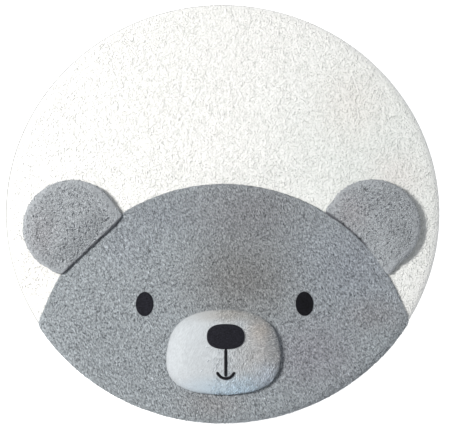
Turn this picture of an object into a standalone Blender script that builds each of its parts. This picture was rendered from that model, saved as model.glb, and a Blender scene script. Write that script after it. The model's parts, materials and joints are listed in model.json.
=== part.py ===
"""A round padded play mat in teddy fleece, with a bear's head sewn on it.

The mat lies flat. The head is a disc of fleece, cut off by the mat's rim and turned down over it. Filled ears,
a filled muzzle, felt eyes, a felt nose and a stitched mouth lie on top. Units are metres, +Z is up, and the
origin is the middle of the mat's underside. The chin is at -Y, and left and right are as seen from above it.
"""

import math
from collections import namedtuple

import bmesh
import bpy
from mathutils import Vector

# The padded mat
MAT_RADIUS = 0.500
MAT_THICK = 0.018
SEAM_HEIGHT = 0.008
RIM_ROLL = 0.024
UNDER_ROLL = 0.012
MAT_SEGMENTS = 84
MAT_RINGS = 10
ROLL_STEPS = 4
UNDER_STEPS = 3
WAVE_FADE = 0.060

# Room between neighbours, and more of it where the cloth turns down over the rim
GAP = 0.0003
RIM_GAP = 0.0010

# The head panel, a disc of fleece
HEAD_CENTRE = Vector((0.0035, -0.380))
HEAD_RADIUS = 0.4265
HEAD_THICK = 0.005
HEAD_THICK_AT_SEAM = 0.002
HEAD_TOP_STEPS = 36
HEAD_RIM_STEPS = 34
HEAD_EDGE_ROUND = 0.002
HEAD_EDGE_BAND = 0.012
HEAD_RING_SHARES = (0.12, 0.28, 0.44, 0.6, 0.75, 0.89)

# The ears, half-round filled pads
EAR_RADIUS = 0.1085
EAR_CROWN = 0.034
EAR_RIM_HEIGHT = 0.012
EAR_BASE_HEIGHT = 0.004
EAR_BASE_FADE = 0.030
EAR_SHOULDER = 0.062
EAR_RING_SHARES = (0.985, 0.945, 0.88, 0.79, 0.67, 0.5, 0.28)
EAR_FLOOR_SHARES = (0.3, 0.6, 0.82)
EAR_TURN_SHARE = 0.95
EAR_TURN_RISE = 0.4
EAR_ARC_STEPS = 30
EAR_BASE_STEPS = 10
EAR_SOFTENING = 2
EAR_HEAD_RAMP = 0.045
EAR_HEAD_MARGIN = 0.010
EAR_HEAD_GAP = 0.0006
LEFT_EAR_CENTRE = Vector((-0.3465, -0.0580))
LEFT_EAR_BASE_OFFSET = 0.0640
LEFT_EAR_FACING_DEG = -44.6
RIGHT_EAR_CENTRE = Vector((0.3440, -0.0540))
RIGHT_EAR_GAP = 0.0008

# The muzzle, a filled crowned pad
MUZZLE_CENTRE = Vector((0.0030, -0.3450))
MUZZLE_HALF_WIDTH = 0.1270
MUZZLE_HALF_LENGTH = 0.0950
MUZZLE_SQUARENESS = 2.5
MUZZLE_TAPER = 0.045
MUZZLE_HEIGHT = 0.051
MUZZLE_BULGE_HEIGHT = 0.009
MUZZLE_CROWN_POWER = 2.3
MUZZLE_LEAN = 0.08
MUZZLE_STEPS = 40
MUZZLE_FLOOR_SHARES = (0.3, 0.65, 0.965)
MUZZLE_TURN_SHARE = 0.992
MUZZLE_TURN_RISE = 0.4
MUZZLE_RING_SHARES = (0.99, 0.96, 0.9, 0.81, 0.69, 0.54, 0.37, 0.19)

# The felt and stitched face
NOSE_CENTRE = Vector((0.0070, -0.3200))
NOSE_HALF_WIDTH = 0.0415
NOSE_HALF_LENGTH = 0.0285
NOSE_SQUARENESS = 2.5
NOSE_THICK = 0.0035
NOSE_STEPS = 28
NOSE_RING_SHARES = (0.12, 0.35, 0.58, 0.8, 0.95)
MOUTH_NOSE_GAP = 0.0008
SMILE_MIDDLE = Vector((0.0075, -0.3905))
SMILE_RADIUS = 0.0204
SMILE_HALF_DEG = 68
STITCH_WIDTH = 0.0062
STITCH_END_WIDTH = 0.0037
STITCH_THICK = 0.0026
STITCH_STEPS = 10
EYE_HALF_WIDTH = 0.0198
EYE_HALF_LENGTH = 0.0280
EYE_THICK = 0.0025
EYE_STEPS = 20
EYE_CENTRES = {"eye_left": Vector((-0.1755, -0.2365)), "eye_right": Vector((0.1840, -0.2360))}
EYE_RING_SHARES = (0.5, 0.93)
PATCH_EDGE_RISE = 0.45

# Half of the stitching's cross-section is given as shares of its half width and of its thickness
Corner = namedtuple("Corner", "side rise")
STITCH_SECTION = (Corner(0.0, 1.0), Corner(0.55, 0.9), Corner(1.0, 0.45), Corner(0.8, 0.0))

# Soft waves that keep the mat's top from being a dead plane
Wave = namedtuple("Wave", "heading_deg length height phase_deg")
WAVES = (
    Wave(heading_deg=12, length=0.46, height=0.0005, phase_deg=40),
    Wave(heading_deg=104, length=0.52, height=0.0004, phase_deg=200),
    Wave(heading_deg=61, length=0.61, height=0.0003, phase_deg=310),
)

Finish = namedtuple("Finish", "colour roughness")
WHITE_FLEECE = Finish((0.91, 0.90, 0.87), 0.95)
GREY_FLEECE = Finish((0.31, 0.33, 0.35), 0.95)
CREAM_PLUSH = Finish((0.72, 0.71, 0.70), 0.92)
BLACK_FELT = Finish((0.018, 0.017, 0.020), 0.90)
BLACK_THREAD = Finish((0.012, 0.012, 0.015), 0.60)


def clear_scene():
    """Empties the scene."""
    for thing in list(bpy.data.objects):
        bpy.data.objects.remove(thing)


def smoothstep(share):
    """Eases from 0 to 1, flat at both ends."""
    share = min(max(share, 0.0), 1.0)
    return share * share * (3 - 2 * share)


def direction(degrees):
    """The unit vector at an angle from +X."""
    return Vector((math.cos(math.radians(degrees)), math.sin(math.radians(degrees))))


def quarter_ellipse(a, b):
    """The length of a quarter of an ellipse, by Ramanujan's formula."""
    return math.pi / 4 * (3 * (a + b) - math.sqrt((3 * a + b) * (a + 3 * b)))


# The top cover is flat out to this radius, and its cloth reaches the seam at the second one
FLAT_RADIUS = MAT_RADIUS - RIM_ROLL
ROLL_LENGTH = quarter_ellipse(RIM_ROLL, MAT_THICK - SEAM_HEIGHT)
CLOTH_RADIUS = FLAT_RADIUS + ROLL_LENGTH


def wave_height(x, y):
    """How far the mat's top stands above its mean level, fading out towards the rim."""
    fade = smoothstep((MAT_RADIUS - math.hypot(x, y)) / WAVE_FADE)
    total = 0.0
    for wave in WAVES:
        along = Vector((x, y)).dot(direction(wave.heading_deg))
        total += wave.height * math.cos(math.tau * along / wave.length + math.radians(wave.phase_deg))
    return total * fade


def on_mat(place, lift, lift_at_seam):
    """A point of cloth laid over the mat and its rim. Its place is measured along the cloth, from the middle."""
    reach = place.length
    turned = max(0.0, min((reach - FLAT_RADIUS) / ROLL_LENGTH, 1.0))
    angle = turned * math.pi / 2
    drop = MAT_THICK - SEAM_HEIGHT
    radius = min(reach, FLAT_RADIUS) + RIM_ROLL * math.sin(angle)
    height = SEAM_HEIGHT + drop * math.cos(angle)
    slope = Vector((drop * math.sin(angle), RIM_ROLL * math.cos(angle))).normalized()
    off = lift + (lift_at_seam - lift) * smoothstep(turned)
    ground = place / reach * (radius + slope.x * off)
    return Vector((ground.x, ground.y, height + slope.y * off + wave_height(ground.x, ground.y)))


def mat_top(x, y):
    """The height of the mat's top at a point of its flat part."""
    return MAT_THICK + wave_height(x, y)


def head_top(x, y):
    """The height of the head panel's top at a point of its flat part."""
    return mat_top(x, y) + GAP + HEAD_THICK


def extrude_to(mesh, loop, ring):
    """Extrudes a closed loop of edges and moves each new point to its place in the ring."""
    place_of = {vert: i for i, vert in enumerate(loop)}
    edges = [mesh.edges.get((vert, loop[(i + 1) % len(loop)])) for i, vert in enumerate(loop)]
    made = bmesh.ops.extrude_edge_only(mesh, edges=edges)["geom"]
    following = [None] * len(loop)
    for vert in (item for item in made if isinstance(item, bmesh.types.BMVert)):
        old = next(edge.other_vert(vert) for edge in vert.link_edges if edge.other_vert(vert) in place_of)
        following[place_of[old]] = vert
    for vert, place in zip(following, ring):
        vert.co = place
    return following


def lofted(name, rings, finish):
    """One closed solid through rings of points, for instance from its underside round its edge to its top."""
    mesh = bmesh.new()
    first = bmesh.ops.create_circle(mesh, cap_ends=True, radius=1, segments=len(rings[0]))["verts"]
    for vert, place in zip(first, rings[0]):
        vert.co = place
    loop = first
    for ring in rings[1:]:
        loop = extrude_to(mesh, loop, ring)
    edges = [mesh.edges.get((vert, loop[(i + 1) % len(loop)])) for i, vert in enumerate(loop)]
    bmesh.ops.contextual_create(mesh, geom=edges)
    bmesh.ops.recalc_face_normals(mesh, faces=mesh.faces)
    return placed(name, mesh, finish)


def placed(name, mesh, finish):
    """Puts a finished mesh into the scene as a smooth-shaded object with its own material."""
    data = bpy.data.meshes.new(name)
    mesh.to_mesh(data)
    mesh.free()
    data.shade_smooth()
    material = bpy.data.materials.new(name)
    material.use_nodes = True
    shader = material.node_tree.nodes["Principled BSDF"]
    shader.inputs["Base Color"].default_value = (*finish.colour, 1)
    shader.inputs["Roughness"].default_value = finish.roughness
    shader.inputs["Metallic"].default_value = 0.0
    data.materials.append(material)
    thing = bpy.data.objects.new(name, data)
    bpy.context.scene.collection.objects.link(thing)
    return thing


def drawn_in(outline, middle, share):
    """The outline drawn in towards a middle point, to that share of its size."""
    return [middle + (place - middle) * share for place in outline]


def trimmed(outline, margin):
    """The outline with a margin cut off all round, measured towards the mat's middle."""
    return [place * (1 - margin / place.length) for place in outline]


def within(outline, radius):
    """The outline with each point that lies beyond a radius from the mat's middle brought in to it."""
    return [place * min(1.0, radius / place.length) for place in outline]


def rounded_outline(centre, half_width, half_length, squareness, steps, taper=0.0):
    """A rounded outline between an ellipse (squareness 2) and a rectangle, wider at -Y by the taper."""
    outline = []
    for i in range(steps):
        turn = direction(360 * i / steps)
        x = math.copysign(abs(turn.x) ** (2 / squareness), turn.x)
        y = math.copysign(abs(turn.y) ** (2 / squareness), turn.y)
        outline.append(centre + Vector((half_width * x * (1 - taper * y), half_length * y)))
    return outline


def make_mat():
    """The padded mat: a profile spun round the middle, with its top in soft waves."""
    rings = []
    for i in range(UNDER_STEPS + 1):
        angle = math.pi / 2 * i / UNDER_STEPS
        radius = MAT_RADIUS - UNDER_ROLL * (1 - math.sin(angle))
        rings.append((radius, SEAM_HEIGHT * (1 - math.cos(angle))))
    for i in range(1, ROLL_STEPS + 1):
        angle = math.pi / 2 * (1 - i / ROLL_STEPS)
        height = SEAM_HEIGHT + (MAT_THICK - SEAM_HEIGHT) * math.cos(angle)
        rings.append((FLAT_RADIUS + RIM_ROLL * math.sin(angle), height))
    for i in range(1, MAT_RINGS):
        rings.append((FLAT_RADIUS * (1 - i / MAT_RINGS), MAT_THICK))
    loops = []
    for radius, height in rings:
        loop = []
        for i in range(MAT_SEGMENTS):
            spot = direction(360 * i / MAT_SEGMENTS) * radius
            wave = wave_height(spot.x, spot.y) if height > SEAM_HEIGHT else 0.0
            loop.append(Vector((spot.x, spot.y, height + wave)))
        loops.append(loop)
    return lofted("mat", loops, WHITE_FLEECE)


def head_turn(radius):
    """How many degrees round from its topmost point the head's edge reaches a radius from the mat's middle."""
    reach = HEAD_CENTRE.length
    along = (reach**2 + HEAD_RADIUS**2 - radius**2) / (2 * reach)
    return math.degrees(math.acos(along / HEAD_RADIUS))


def head_outline():
    """The head panel's flat cut, anticlockwise: the disc's edge, then the mat's rim under the chin."""
    up = math.degrees(math.atan2(-HEAD_CENTRE.y, -HEAD_CENTRE.x))
    rolled = [head_turn(FLAT_RADIUS + ROLL_LENGTH * i / ROLL_STEPS) for i in range(1, ROLL_STEPS + 1)]
    flat = head_turn(FLAT_RADIUS)
    turns = [-turn for turn in reversed(rolled)]
    turns += [flat * (2 * i / HEAD_TOP_STEPS - 1) for i in range(HEAD_TOP_STEPS + 1)]
    turns += rolled
    outline = [HEAD_CENTRE + direction(up + turn) * HEAD_RADIUS for turn in turns]
    start = math.degrees(math.atan2(outline[-1].y, outline[-1].x)) % 360
    end = math.degrees(math.atan2(outline[0].y, outline[0].x)) % 360
    for i in range(1, HEAD_RIM_STEPS):
        outline.append(direction(start + (end - start) * i / HEAD_RIM_STEPS) * CLOTH_RADIUS)
    return outline


def make_head():
    """The head panel: a sheet of fleece with a rounded edge, laid on the mat and turned down over its rim."""
    outline = head_outline()
    inner = within(trimmed(outline, HEAD_EDGE_BAND), FLAT_RADIUS)
    flat_rings = [[place * share for place in inner] for share in HEAD_RING_SHARES]
    for i in range(ROLL_STEPS):
        margin = HEAD_EDGE_ROUND + (HEAD_EDGE_BAND - HEAD_EDGE_ROUND) * (1 - (i + 1) / ROLL_STEPS)
        flat_rings.append(within(trimmed(outline, margin), FLAT_RADIUS + ROLL_LENGTH * i / ROLL_STEPS))
    under = [[on_mat(place, GAP, RIM_GAP) for place in ring] for ring in flat_rings]
    half = [on_mat(place, GAP + HEAD_THICK / 2, RIM_GAP + HEAD_THICK_AT_SEAM / 2) for place in outline]
    full_at_seam = RIM_GAP + HEAD_THICK_AT_SEAM
    over = [[on_mat(place, GAP + HEAD_THICK, full_at_seam) for place in ring] for ring in flat_rings]
    return lofted("head", [*under, half, *reversed(over)], GREY_FLEECE)


def softened(outline, passes):
    """Rounds an outline's corners by moving each point towards its neighbours' mean."""
    for _ in range(passes):
        outline = [
            outline[i] / 2 + (outline[i - 1] + outline[(i + 1) % len(outline)]) / 4
            for i in range(len(outline))
        ]
    return outline


def left_ear_outline():
    """A disc cut off by a straight base, anticlockwise."""
    half = math.degrees(math.acos(LEFT_EAR_BASE_OFFSET / EAR_RADIUS))
    start = LEFT_EAR_FACING_DEG + half
    sweep = 360 - 2 * half
    arc = [
        LEFT_EAR_CENTRE + direction(start + sweep * i / EAR_ARC_STEPS) * EAR_RADIUS
        for i in range(EAR_ARC_STEPS + 1)
    ]
    base = [arc[-1].lerp(arc[0], i / EAR_BASE_STEPS) for i in range(1, EAR_BASE_STEPS)]
    return arc + base


def right_ear_outline():
    """A disc cut off by the head's round edge, anticlockwise."""
    edge = HEAD_RADIUS + RIGHT_EAR_GAP
    between = RIGHT_EAR_CENTRE - HEAD_CENTRE
    reach = between.length
    outward = math.degrees(math.atan2(between.y, between.x))
    along_ear = (reach**2 + EAR_RADIUS**2 - edge**2) / (2 * reach)
    half_ear = math.degrees(math.acos(along_ear / EAR_RADIUS))
    half_head = math.degrees(math.acos((reach - along_ear) / edge))
    start = outward + 180 + half_ear
    sweep = 360 - 2 * half_ear
    arc = [
        RIGHT_EAR_CENTRE + direction(start + sweep * i / EAR_ARC_STEPS) * EAR_RADIUS
        for i in range(EAR_ARC_STEPS + 1)
    ]
    base = [
        HEAD_CENTRE + direction(outward + half_head * (1 - 2 * i / EAR_BASE_STEPS)) * edge
        for i in range(1, EAR_BASE_STEPS)
    ]
    return arc + base


def ear_ground(place):
    """The height that an ear's underside rests at: the mat, then a ramp up onto the head's edge."""
    inside = HEAD_RADIUS - (place - HEAD_CENTRE).length
    ramp = smoothstep((inside + EAR_HEAD_MARGIN + EAR_HEAD_RAMP) / EAR_HEAD_RAMP)
    return mat_top(place.x, place.y) + GAP + (HEAD_THICK + EAR_HEAD_GAP) * ramp


def edge_distance(place, outline):
    """How far a place inside an outline lies from its edge."""
    nearest = math.inf
    for i, start in enumerate(outline):
        end = outline[(i + 1) % len(outline)]
        share = (place - start).dot(end - start) / (end - start).length_squared
        nearest = min(nearest, (place - start.lerp(end, min(max(share, 0.0), 1.0))).length)
    return nearest


def make_ear(name, outline, centre, lies_on_head):
    """A filled ear: a crowned pad whose free rim stands off the mat and whose base is pinched to its seam."""
    outline = softened(outline, EAR_SOFTENING)
    middle = sum(outline, Vector((0, 0))) / len(outline)

    def point(place, height):
        ground = ear_ground(place) if lies_on_head else mat_top(place.x, place.y) + GAP
        return Vector((place.x, place.y, ground + height))

    def seam_height(edge):
        free = smoothstep(((edge - centre).length - EAR_RADIUS + EAR_BASE_FADE) / EAR_BASE_FADE)
        return EAR_BASE_HEIGHT + (EAR_RIM_HEIGHT - EAR_BASE_HEIGHT) * free

    def under_ring(share, rise):
        return [point(middle.lerp(edge, share), seam_height(edge) * rise) for edge in outline]

    def top_ring(share):
        ring = []
        for edge in outline:
            place = middle.lerp(edge, share)
            short = 1 - min(edge_distance(place, outline) / EAR_SHOULDER, 1.0)
            seam = seam_height(edge)
            ring.append(point(place, seam + (EAR_CROWN - seam) * math.sqrt(1 - short**2)))
        return ring

    under = [under_ring(share, 0.0) for share in EAR_FLOOR_SHARES]
    turn = [under_ring(EAR_TURN_SHARE, EAR_TURN_RISE), under_ring(1.0, 1.0)]
    over = [top_ring(share) for share in EAR_RING_SHARES]
    return lofted(name, [*under, *turn, *over], GREY_FLEECE)


def muzzle_lift(x, y):
    """The muzzle's height above the head panel, from the bulge of its side up to its crown near the nose."""
    up = (y - MUZZLE_CENTRE.y) / MUZZLE_HALF_LENGTH
    across = (x - MUZZLE_CENTRE.x) / (MUZZLE_HALF_WIDTH * (1 - MUZZLE_TAPER * up))
    share = (abs(across) ** MUZZLE_SQUARENESS + abs(up) ** MUZZLE_SQUARENESS) ** (1 / MUZZLE_SQUARENESS)
    dome = math.sqrt(max(0.0, 1 - share**MUZZLE_CROWN_POWER)) * (1 + MUZZLE_LEAN * up)
    return MUZZLE_BULGE_HEIGHT + (MUZZLE_HEIGHT - MUZZLE_BULGE_HEIGHT) * dome


def muzzle_top(x, y):
    """The height of the muzzle's surface."""
    return head_top(x, y) + GAP + muzzle_lift(x, y)


def make_muzzle():
    """The muzzle: a filled pad, drawn in where it is sewn down, with its crown a little towards the nose."""
    outline = rounded_outline(
        MUZZLE_CENTRE, MUZZLE_HALF_WIDTH, MUZZLE_HALF_LENGTH, MUZZLE_SQUARENESS, MUZZLE_STEPS, MUZZLE_TAPER
    )

    def ring(share, lift_at):
        places = drawn_in(outline, MUZZLE_CENTRE, share)
        return [Vector((x, y, head_top(x, y) + GAP + lift_at(x, y))) for x, y in places]

    under = [ring(share, lambda x, y: 0.0) for share in MUZZLE_FLOOR_SHARES]
    turn = [
        ring(MUZZLE_TURN_SHARE, lambda x, y: MUZZLE_BULGE_HEIGHT * MUZZLE_TURN_RISE),
        ring(1.0, lambda x, y: MUZZLE_BULGE_HEIGHT),
    ]
    over = [ring(share, muzzle_lift) for share in MUZZLE_RING_SHARES]
    return lofted("muzzle", [*under, *turn, *over], CREAM_PLUSH)


def make_patch(name, outline, middle, thick, shares, surface):
    """A felt patch with a rounded edge, lying on a surface."""
    rings = []
    for share in shares:
        rings.append([(place, 0.0) for place in drawn_in(outline, middle, share)])
    rings.append([(place, thick * PATCH_EDGE_RISE) for place in outline])
    for share in reversed(shares):
        rings.append([(place, thick) for place in drawn_in(outline, middle, share)])
    solid = [
        [Vector((place.x, place.y, surface(place.x, place.y) + GAP + lift)) for place, lift in ring]
        for ring in rings
    ]
    return lofted(name, solid, BLACK_FELT)


def make_stitching(name, route):
    """A satin-stitched line, flat below and domed above, that follows the muzzle."""
    mirrored = [Corner(-corner.side, corner.rise) for corner in reversed(STITCH_SECTION[1:])]
    rings = []
    for i, place in enumerate(route):
        is_end = i in (0, len(route) - 1)
        along = (route[min(i + 1, len(route) - 1)] - route[max(i - 1, 0)]).normalized()
        across = Vector((-along.y, along.x)) * (STITCH_END_WIDTH if is_end else STITCH_WIDTH) / 2
        ring = []
        for corner in (*STITCH_SECTION, *mirrored):
            x, y = place + across * corner.side
            ring.append(Vector((x, y, muzzle_top(x, y) + GAP + STITCH_THICK * corner.rise)))
        rings.append(ring)
    return lofted(name, rings, BLACK_THREAD)


def make_mouth():
    """The mouth: a line down from the nose and a smile, joined into one piece."""
    top = Vector((SMILE_MIDDLE.x, NOSE_CENTRE.y - NOSE_HALF_LENGTH - MOUTH_NOSE_GAP))
    bottom = SMILE_MIDDLE - Vector((0, SMILE_RADIUS))
    line = [top.lerp(bottom, i / STITCH_STEPS) for i in range(STITCH_STEPS + 1)]
    turns = [270 + SMILE_HALF_DEG * (2 * i / STITCH_STEPS - 1) for i in range(STITCH_STEPS + 1)]
    arc = [SMILE_MIDDLE + direction(turn) * SMILE_RADIUS for turn in turns]
    mouth = make_stitching("mouth", line)
    smile = make_stitching("mouth_smile", arc)
    smile.hide_render = True
    smile.display_type = "WIRE"
    join = mouth.modifiers.new("join the smile", "BOOLEAN")
    join.operation = "UNION"
    join.object = smile
    return mouth


def main():
    """Builds every piece."""
    clear_scene()
    make_mat()
    make_head()
    make_ear("ear_left", left_ear_outline(), LEFT_EAR_CENTRE, lies_on_head=True)
    make_ear("ear_right", right_ear_outline(), RIGHT_EAR_CENTRE, lies_on_head=False)
    make_muzzle()
    nose = rounded_outline(NOSE_CENTRE, NOSE_HALF_WIDTH, NOSE_HALF_LENGTH, NOSE_SQUARENESS, NOSE_STEPS)
    make_patch("nose", nose, NOSE_CENTRE, NOSE_THICK, NOSE_RING_SHARES, muzzle_top)
    make_mouth()
    for name, centre in EYE_CENTRES.items():
        eye = rounded_outline(centre, EYE_HALF_WIDTH, EYE_HALF_LENGTH, 2, EYE_STEPS)
        make_patch(name, eye, centre, EYE_THICK, EYE_RING_SHARES, head_top)


main()
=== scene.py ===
"""The looks of a round padded play mat in teddy fleece, with a bear's head sewn on it.

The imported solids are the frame. Each soft piece here stands in the place of its solid: cloth is cut flat,
given its thickness and laid over the mat, and the filled pads are inflated as cloth. Fleece gets its pile as
ridges and as many small curls. Units are metres, +Z is up, the chin is at -Y, and left and right are as seen
from above.
"""

import json
import logging
import math
from dataclasses import dataclass
from enum import Enum
from typing import Any, Callable, Iterable, Optional, Sequence, Union

import bmesh
import bpy
import numpy as np
from mathutils import Matrix, Vector
from mathutils.bvhtree import BVHTree

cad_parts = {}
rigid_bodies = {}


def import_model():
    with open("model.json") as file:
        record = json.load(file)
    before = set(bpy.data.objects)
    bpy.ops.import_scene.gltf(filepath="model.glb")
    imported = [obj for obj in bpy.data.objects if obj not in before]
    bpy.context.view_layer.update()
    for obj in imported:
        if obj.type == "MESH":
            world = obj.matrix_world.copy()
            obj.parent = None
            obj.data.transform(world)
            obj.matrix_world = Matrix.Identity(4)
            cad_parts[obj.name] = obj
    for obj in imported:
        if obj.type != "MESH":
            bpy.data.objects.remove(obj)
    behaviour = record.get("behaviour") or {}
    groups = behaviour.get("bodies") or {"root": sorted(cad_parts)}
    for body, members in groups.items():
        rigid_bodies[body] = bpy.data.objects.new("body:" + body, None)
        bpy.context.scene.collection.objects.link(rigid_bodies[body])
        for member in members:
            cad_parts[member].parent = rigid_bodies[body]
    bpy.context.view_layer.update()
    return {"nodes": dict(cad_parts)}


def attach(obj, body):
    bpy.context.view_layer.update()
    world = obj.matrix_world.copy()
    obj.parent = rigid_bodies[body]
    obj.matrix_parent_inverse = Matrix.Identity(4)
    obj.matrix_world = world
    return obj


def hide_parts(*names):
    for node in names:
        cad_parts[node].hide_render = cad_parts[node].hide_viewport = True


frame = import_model()

BODY = "root"
LOG = logging.getLogger("play_mat")

Colour = tuple[float, float, float]
Place = tuple[float, float]
Points = np.ndarray
Feed = Union[bpy.types.NodeSocket, bpy.types.ID, Sequence[float], float, str]

# No curls grow where less of the cloth than this is exposed
LEAST_EXPOSED = 0.3
# Lengths under this are taken for nothing
TINY = 1e-9
# Points closer than this are in one place
SAME_PLACE = 1e-5
# How far a noise's values reach from their middle
NOISE_REACH = 0.25


def smoothstep(share: Points) -> Points:
    """Eases from 0 to 1, flat at both ends."""
    share = np.clip(share, 0.0, 1.0)
    return share * share * (3 - 2 * share)


def lifted(low: float, share: Points | float) -> Points | float:
    """Lifts a share of 0 to 1 so that it starts at a low value and still ends at 1."""
    return low + (1 - low) * share


def exposure(hidden: Points, overlap: float) -> Points:
    """How exposed a cloth is: fully in the open, and not at all deeper than an overlap under a neighbour."""
    return smoothstep((overlap - hidden) / (2 * overlap))


def coordinates(mesh: bpy.types.Mesh) -> Points:
    """The places of a mesh's points.

    Args:
        mesh: The mesh.

    Returns:
        One row of coordinates for each point.
    """
    places = np.zeros(len(mesh.vertices) * 3, np.float32)
    mesh.vertices.foreach_get("co", places)
    return places.reshape(-1, 3).astype(float)


def set_coordinates(mesh: bpy.types.Mesh, places: Points) -> None:
    """Moves a mesh's points to new places."""
    mesh.vertices.foreach_set("co", places.astype(np.float32).ravel())
    mesh.update()


def normals(mesh: bpy.types.Mesh) -> Points:
    """The directions that a mesh's points face.

    Args:
        mesh: The mesh.

    Returns:
        One row for each point.
    """
    facing = np.zeros(len(mesh.vertices) * 3, np.float32)
    mesh.vertex_normals.foreach_get("vector", facing)
    return facing.reshape(-1, 3).astype(float)


def note(mesh: bpy.types.Mesh, name: str, values: Points) -> None:
    """Stores one number for each point of a mesh, for its pile or its material to read."""
    layer = mesh.attributes.get(name) or mesh.attributes.new(name, "FLOAT", "POINT")
    layer.data.foreach_set("value", values.astype(np.float32))


def finished(name: str, mesh: bmesh.types.BMesh) -> bpy.types.Mesh:
    """Turns a finished bmesh into a smooth-shaded mesh, and frees it.

    Args:
        name: The new mesh's name.
        mesh: The bmesh.

    Returns:
        The new mesh.
    """
    data = bpy.data.meshes.new(name)
    mesh.to_mesh(data)
    mesh.free()
    data.shade_smooth()
    return data


def shown(name: str, mesh: bpy.types.Mesh) -> bpy.types.Object:
    """Puts a mesh into the scene.

    Args:
        name: The name of its object.
        mesh: The mesh.

    Returns:
        The object.
    """
    thing = bpy.data.objects.new(name, mesh)
    bpy.context.scene.collection.objects.link(thing)
    return thing


def from_bmesh(name: str, mesh: bmesh.types.BMesh) -> bpy.types.Object:
    """Turns a finished bmesh into an object in the scene."""
    return shown(name, finished(name, mesh))


def settle(thing: bpy.types.Object) -> None:
    """Puts what an object's modifiers make of it into its mesh, and removes them.

    Args:
        thing: The object.
    """
    depsgraph = bpy.context.evaluated_depsgraph_get()
    settled = bpy.data.meshes.new_from_object(
        thing.evaluated_get(depsgraph), preserve_all_data_layers=True, depsgraph=depsgraph
    )
    thing.modifiers.clear()
    before = thing.data
    thing.data = settled
    bpy.data.meshes.remove(before)
    settled.name = thing.name
    settled.shade_smooth()


class NodeDesk:
    """A node tree with short ways to add nodes and join them.

    Args:
        tree: The shader or geometry tree to work on.
    """

    def __init__(self, tree: bpy.types.NodeTree) -> None:
        self.tree = tree

    @staticmethod
    def pick(sockets: Iterable[bpy.types.NodeSocket], name: str) -> bpy.types.NodeSocket:
        """The socket of that name which the node's settings leave in use."""
        return next(socket for socket in sockets if socket.name == name and socket.enabled)

    def feed(self, socket: bpy.types.NodeSocket, value: Feed) -> None:
        """Feeds an input with a value or with another node's output.

        Args:
            socket: The input.
            value: What it gets.
        """
        if isinstance(value, bpy.types.NodeSocket):
            self.tree.links.new(value, socket)
        else:
            socket.default_value = value

    def add(self, kind: str, feeds: Optional[dict[str, Feed]] = None, **settings: Any) -> bpy.types.Node:
        """Adds a node.

        Args:
            kind: The node's type.
            feeds: What goes into its inputs, by name.
            **settings: The node's own settings.

        Returns:
            The new node.
        """
        node = self.tree.nodes.new(kind)
        for name, value in settings.items():
            setattr(node, name, value)
        for name, value in (feeds or {}).items():
            self.feed(self.pick(node.inputs, name), value)
        return node

    def out(
        self, kind: str, output: str, feeds: Optional[dict[str, Feed]] = None, **settings: Any
    ) -> bpy.types.NodeSocket:
        """Adds a node and gives one of its outputs."""
        return self.pick(self.add(kind, feeds, **settings).outputs, output)

    def operate(self, kind: str, operation: str, values: Sequence[Feed]) -> bpy.types.Node:
        """Adds a node that works on its inputs in order.

        Args:
            kind: The node's type.
            operation: What it does.
            values: What it works on.

        Returns:
            The new node.
        """
        node = self.add(kind, operation=operation)
        for socket, value in zip(node.inputs, values):
            self.feed(socket, value)
        return node

    def maths(self, operation: str, *values: Feed) -> bpy.types.NodeSocket:
        """Works on one, two or three numbers."""
        return self.operate("ShaderNodeMath", operation, values).outputs["Value"]

    def vector_maths(self, operation: str, *values: Feed) -> bpy.types.NodeSocket:
        """Works on two vectors."""
        return self.operate("ShaderNodeVectorMath", operation, values).outputs["Vector"]

    def length(self, vector: bpy.types.NodeSocket) -> bpy.types.NodeSocket:
        """Gives a vector's length."""
        return self.operate("ShaderNodeVectorMath", "LENGTH", [vector]).outputs["Value"]

    def scaled(self, vector: bpy.types.NodeSocket, scale: Feed) -> bpy.types.NodeSocket:
        """Makes a vector longer or shorter."""
        feeds = {"Vector": vector, "Scale": scale}
        return self.out("ShaderNodeVectorMath", "Vector", feeds, operation="SCALE")

    def ease(self, value: Feed, low: float, high: float) -> bpy.types.NodeSocket:
        """Maps a number from a range to 0 to 1, flat at both ends."""
        feeds = {"Value": value, "From Min": low, "From Max": high}
        return self.out("ShaderNodeMapRange", "Result", feeds, interpolation_type="SMOOTHSTEP")

    def mix(self, factor: Feed, first: Feed, second: Feed) -> bpy.types.NodeSocket:
        """Mixes two numbers."""
        feeds = {"Factor": factor, "A": first, "B": second}
        return self.out("ShaderNodeMix", "Result", feeds, data_type="FLOAT")

    def blend(self, factor: Feed, first: Feed, second: Feed, how: str = "MIX") -> bpy.types.NodeSocket:
        """Mixes two colours."""
        feeds = {"Factor": factor, "A": first, "B": second}
        return self.out("ShaderNodeMix", "Result", feeds, data_type="RGBA", blend_type=how)

    def around_one(self, value: Feed, spread: Feed) -> bpy.types.NodeSocket:
        """Turns a number around a half into a level around 1."""
        return self.maths("MULTIPLY_ADD", self.maths("SUBTRACT", value, 0.5), spread, 1.0)

    def grey(self, level: Feed) -> bpy.types.NodeSocket:
        """Gives the grey of a level."""
        return self.out("ShaderNodeCombineColor", "Color", dict.fromkeys(("Red", "Green", "Blue"), level))


def opaque(colour: Colour) -> tuple[float, float, float, float]:
    """A colour with full cover, as the sockets want it."""
    return (*colour, 1.0)


def new_group(name: str, inputs: dict[str, str], outputs: dict[str, str]) -> tuple[NodeDesk, bpy.types.Node]:
    """Starts a shader node group.

    Args:
        name: The group's name.
        inputs: Each input's name and socket type.
        outputs: Each output's name and socket type.

    Returns:
        The group's desk and its input node.
    """
    tree = bpy.data.node_groups.new(name, "ShaderNodeTree")
    for direction, sockets in (("INPUT", inputs), ("OUTPUT", outputs)):
        for label, kind in sockets.items():
            tree.interface.new_socket(label, in_out=direction, socket_type=kind)
    desk = NodeDesk(tree)
    return desk, desk.add("NodeGroupInput")


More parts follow.
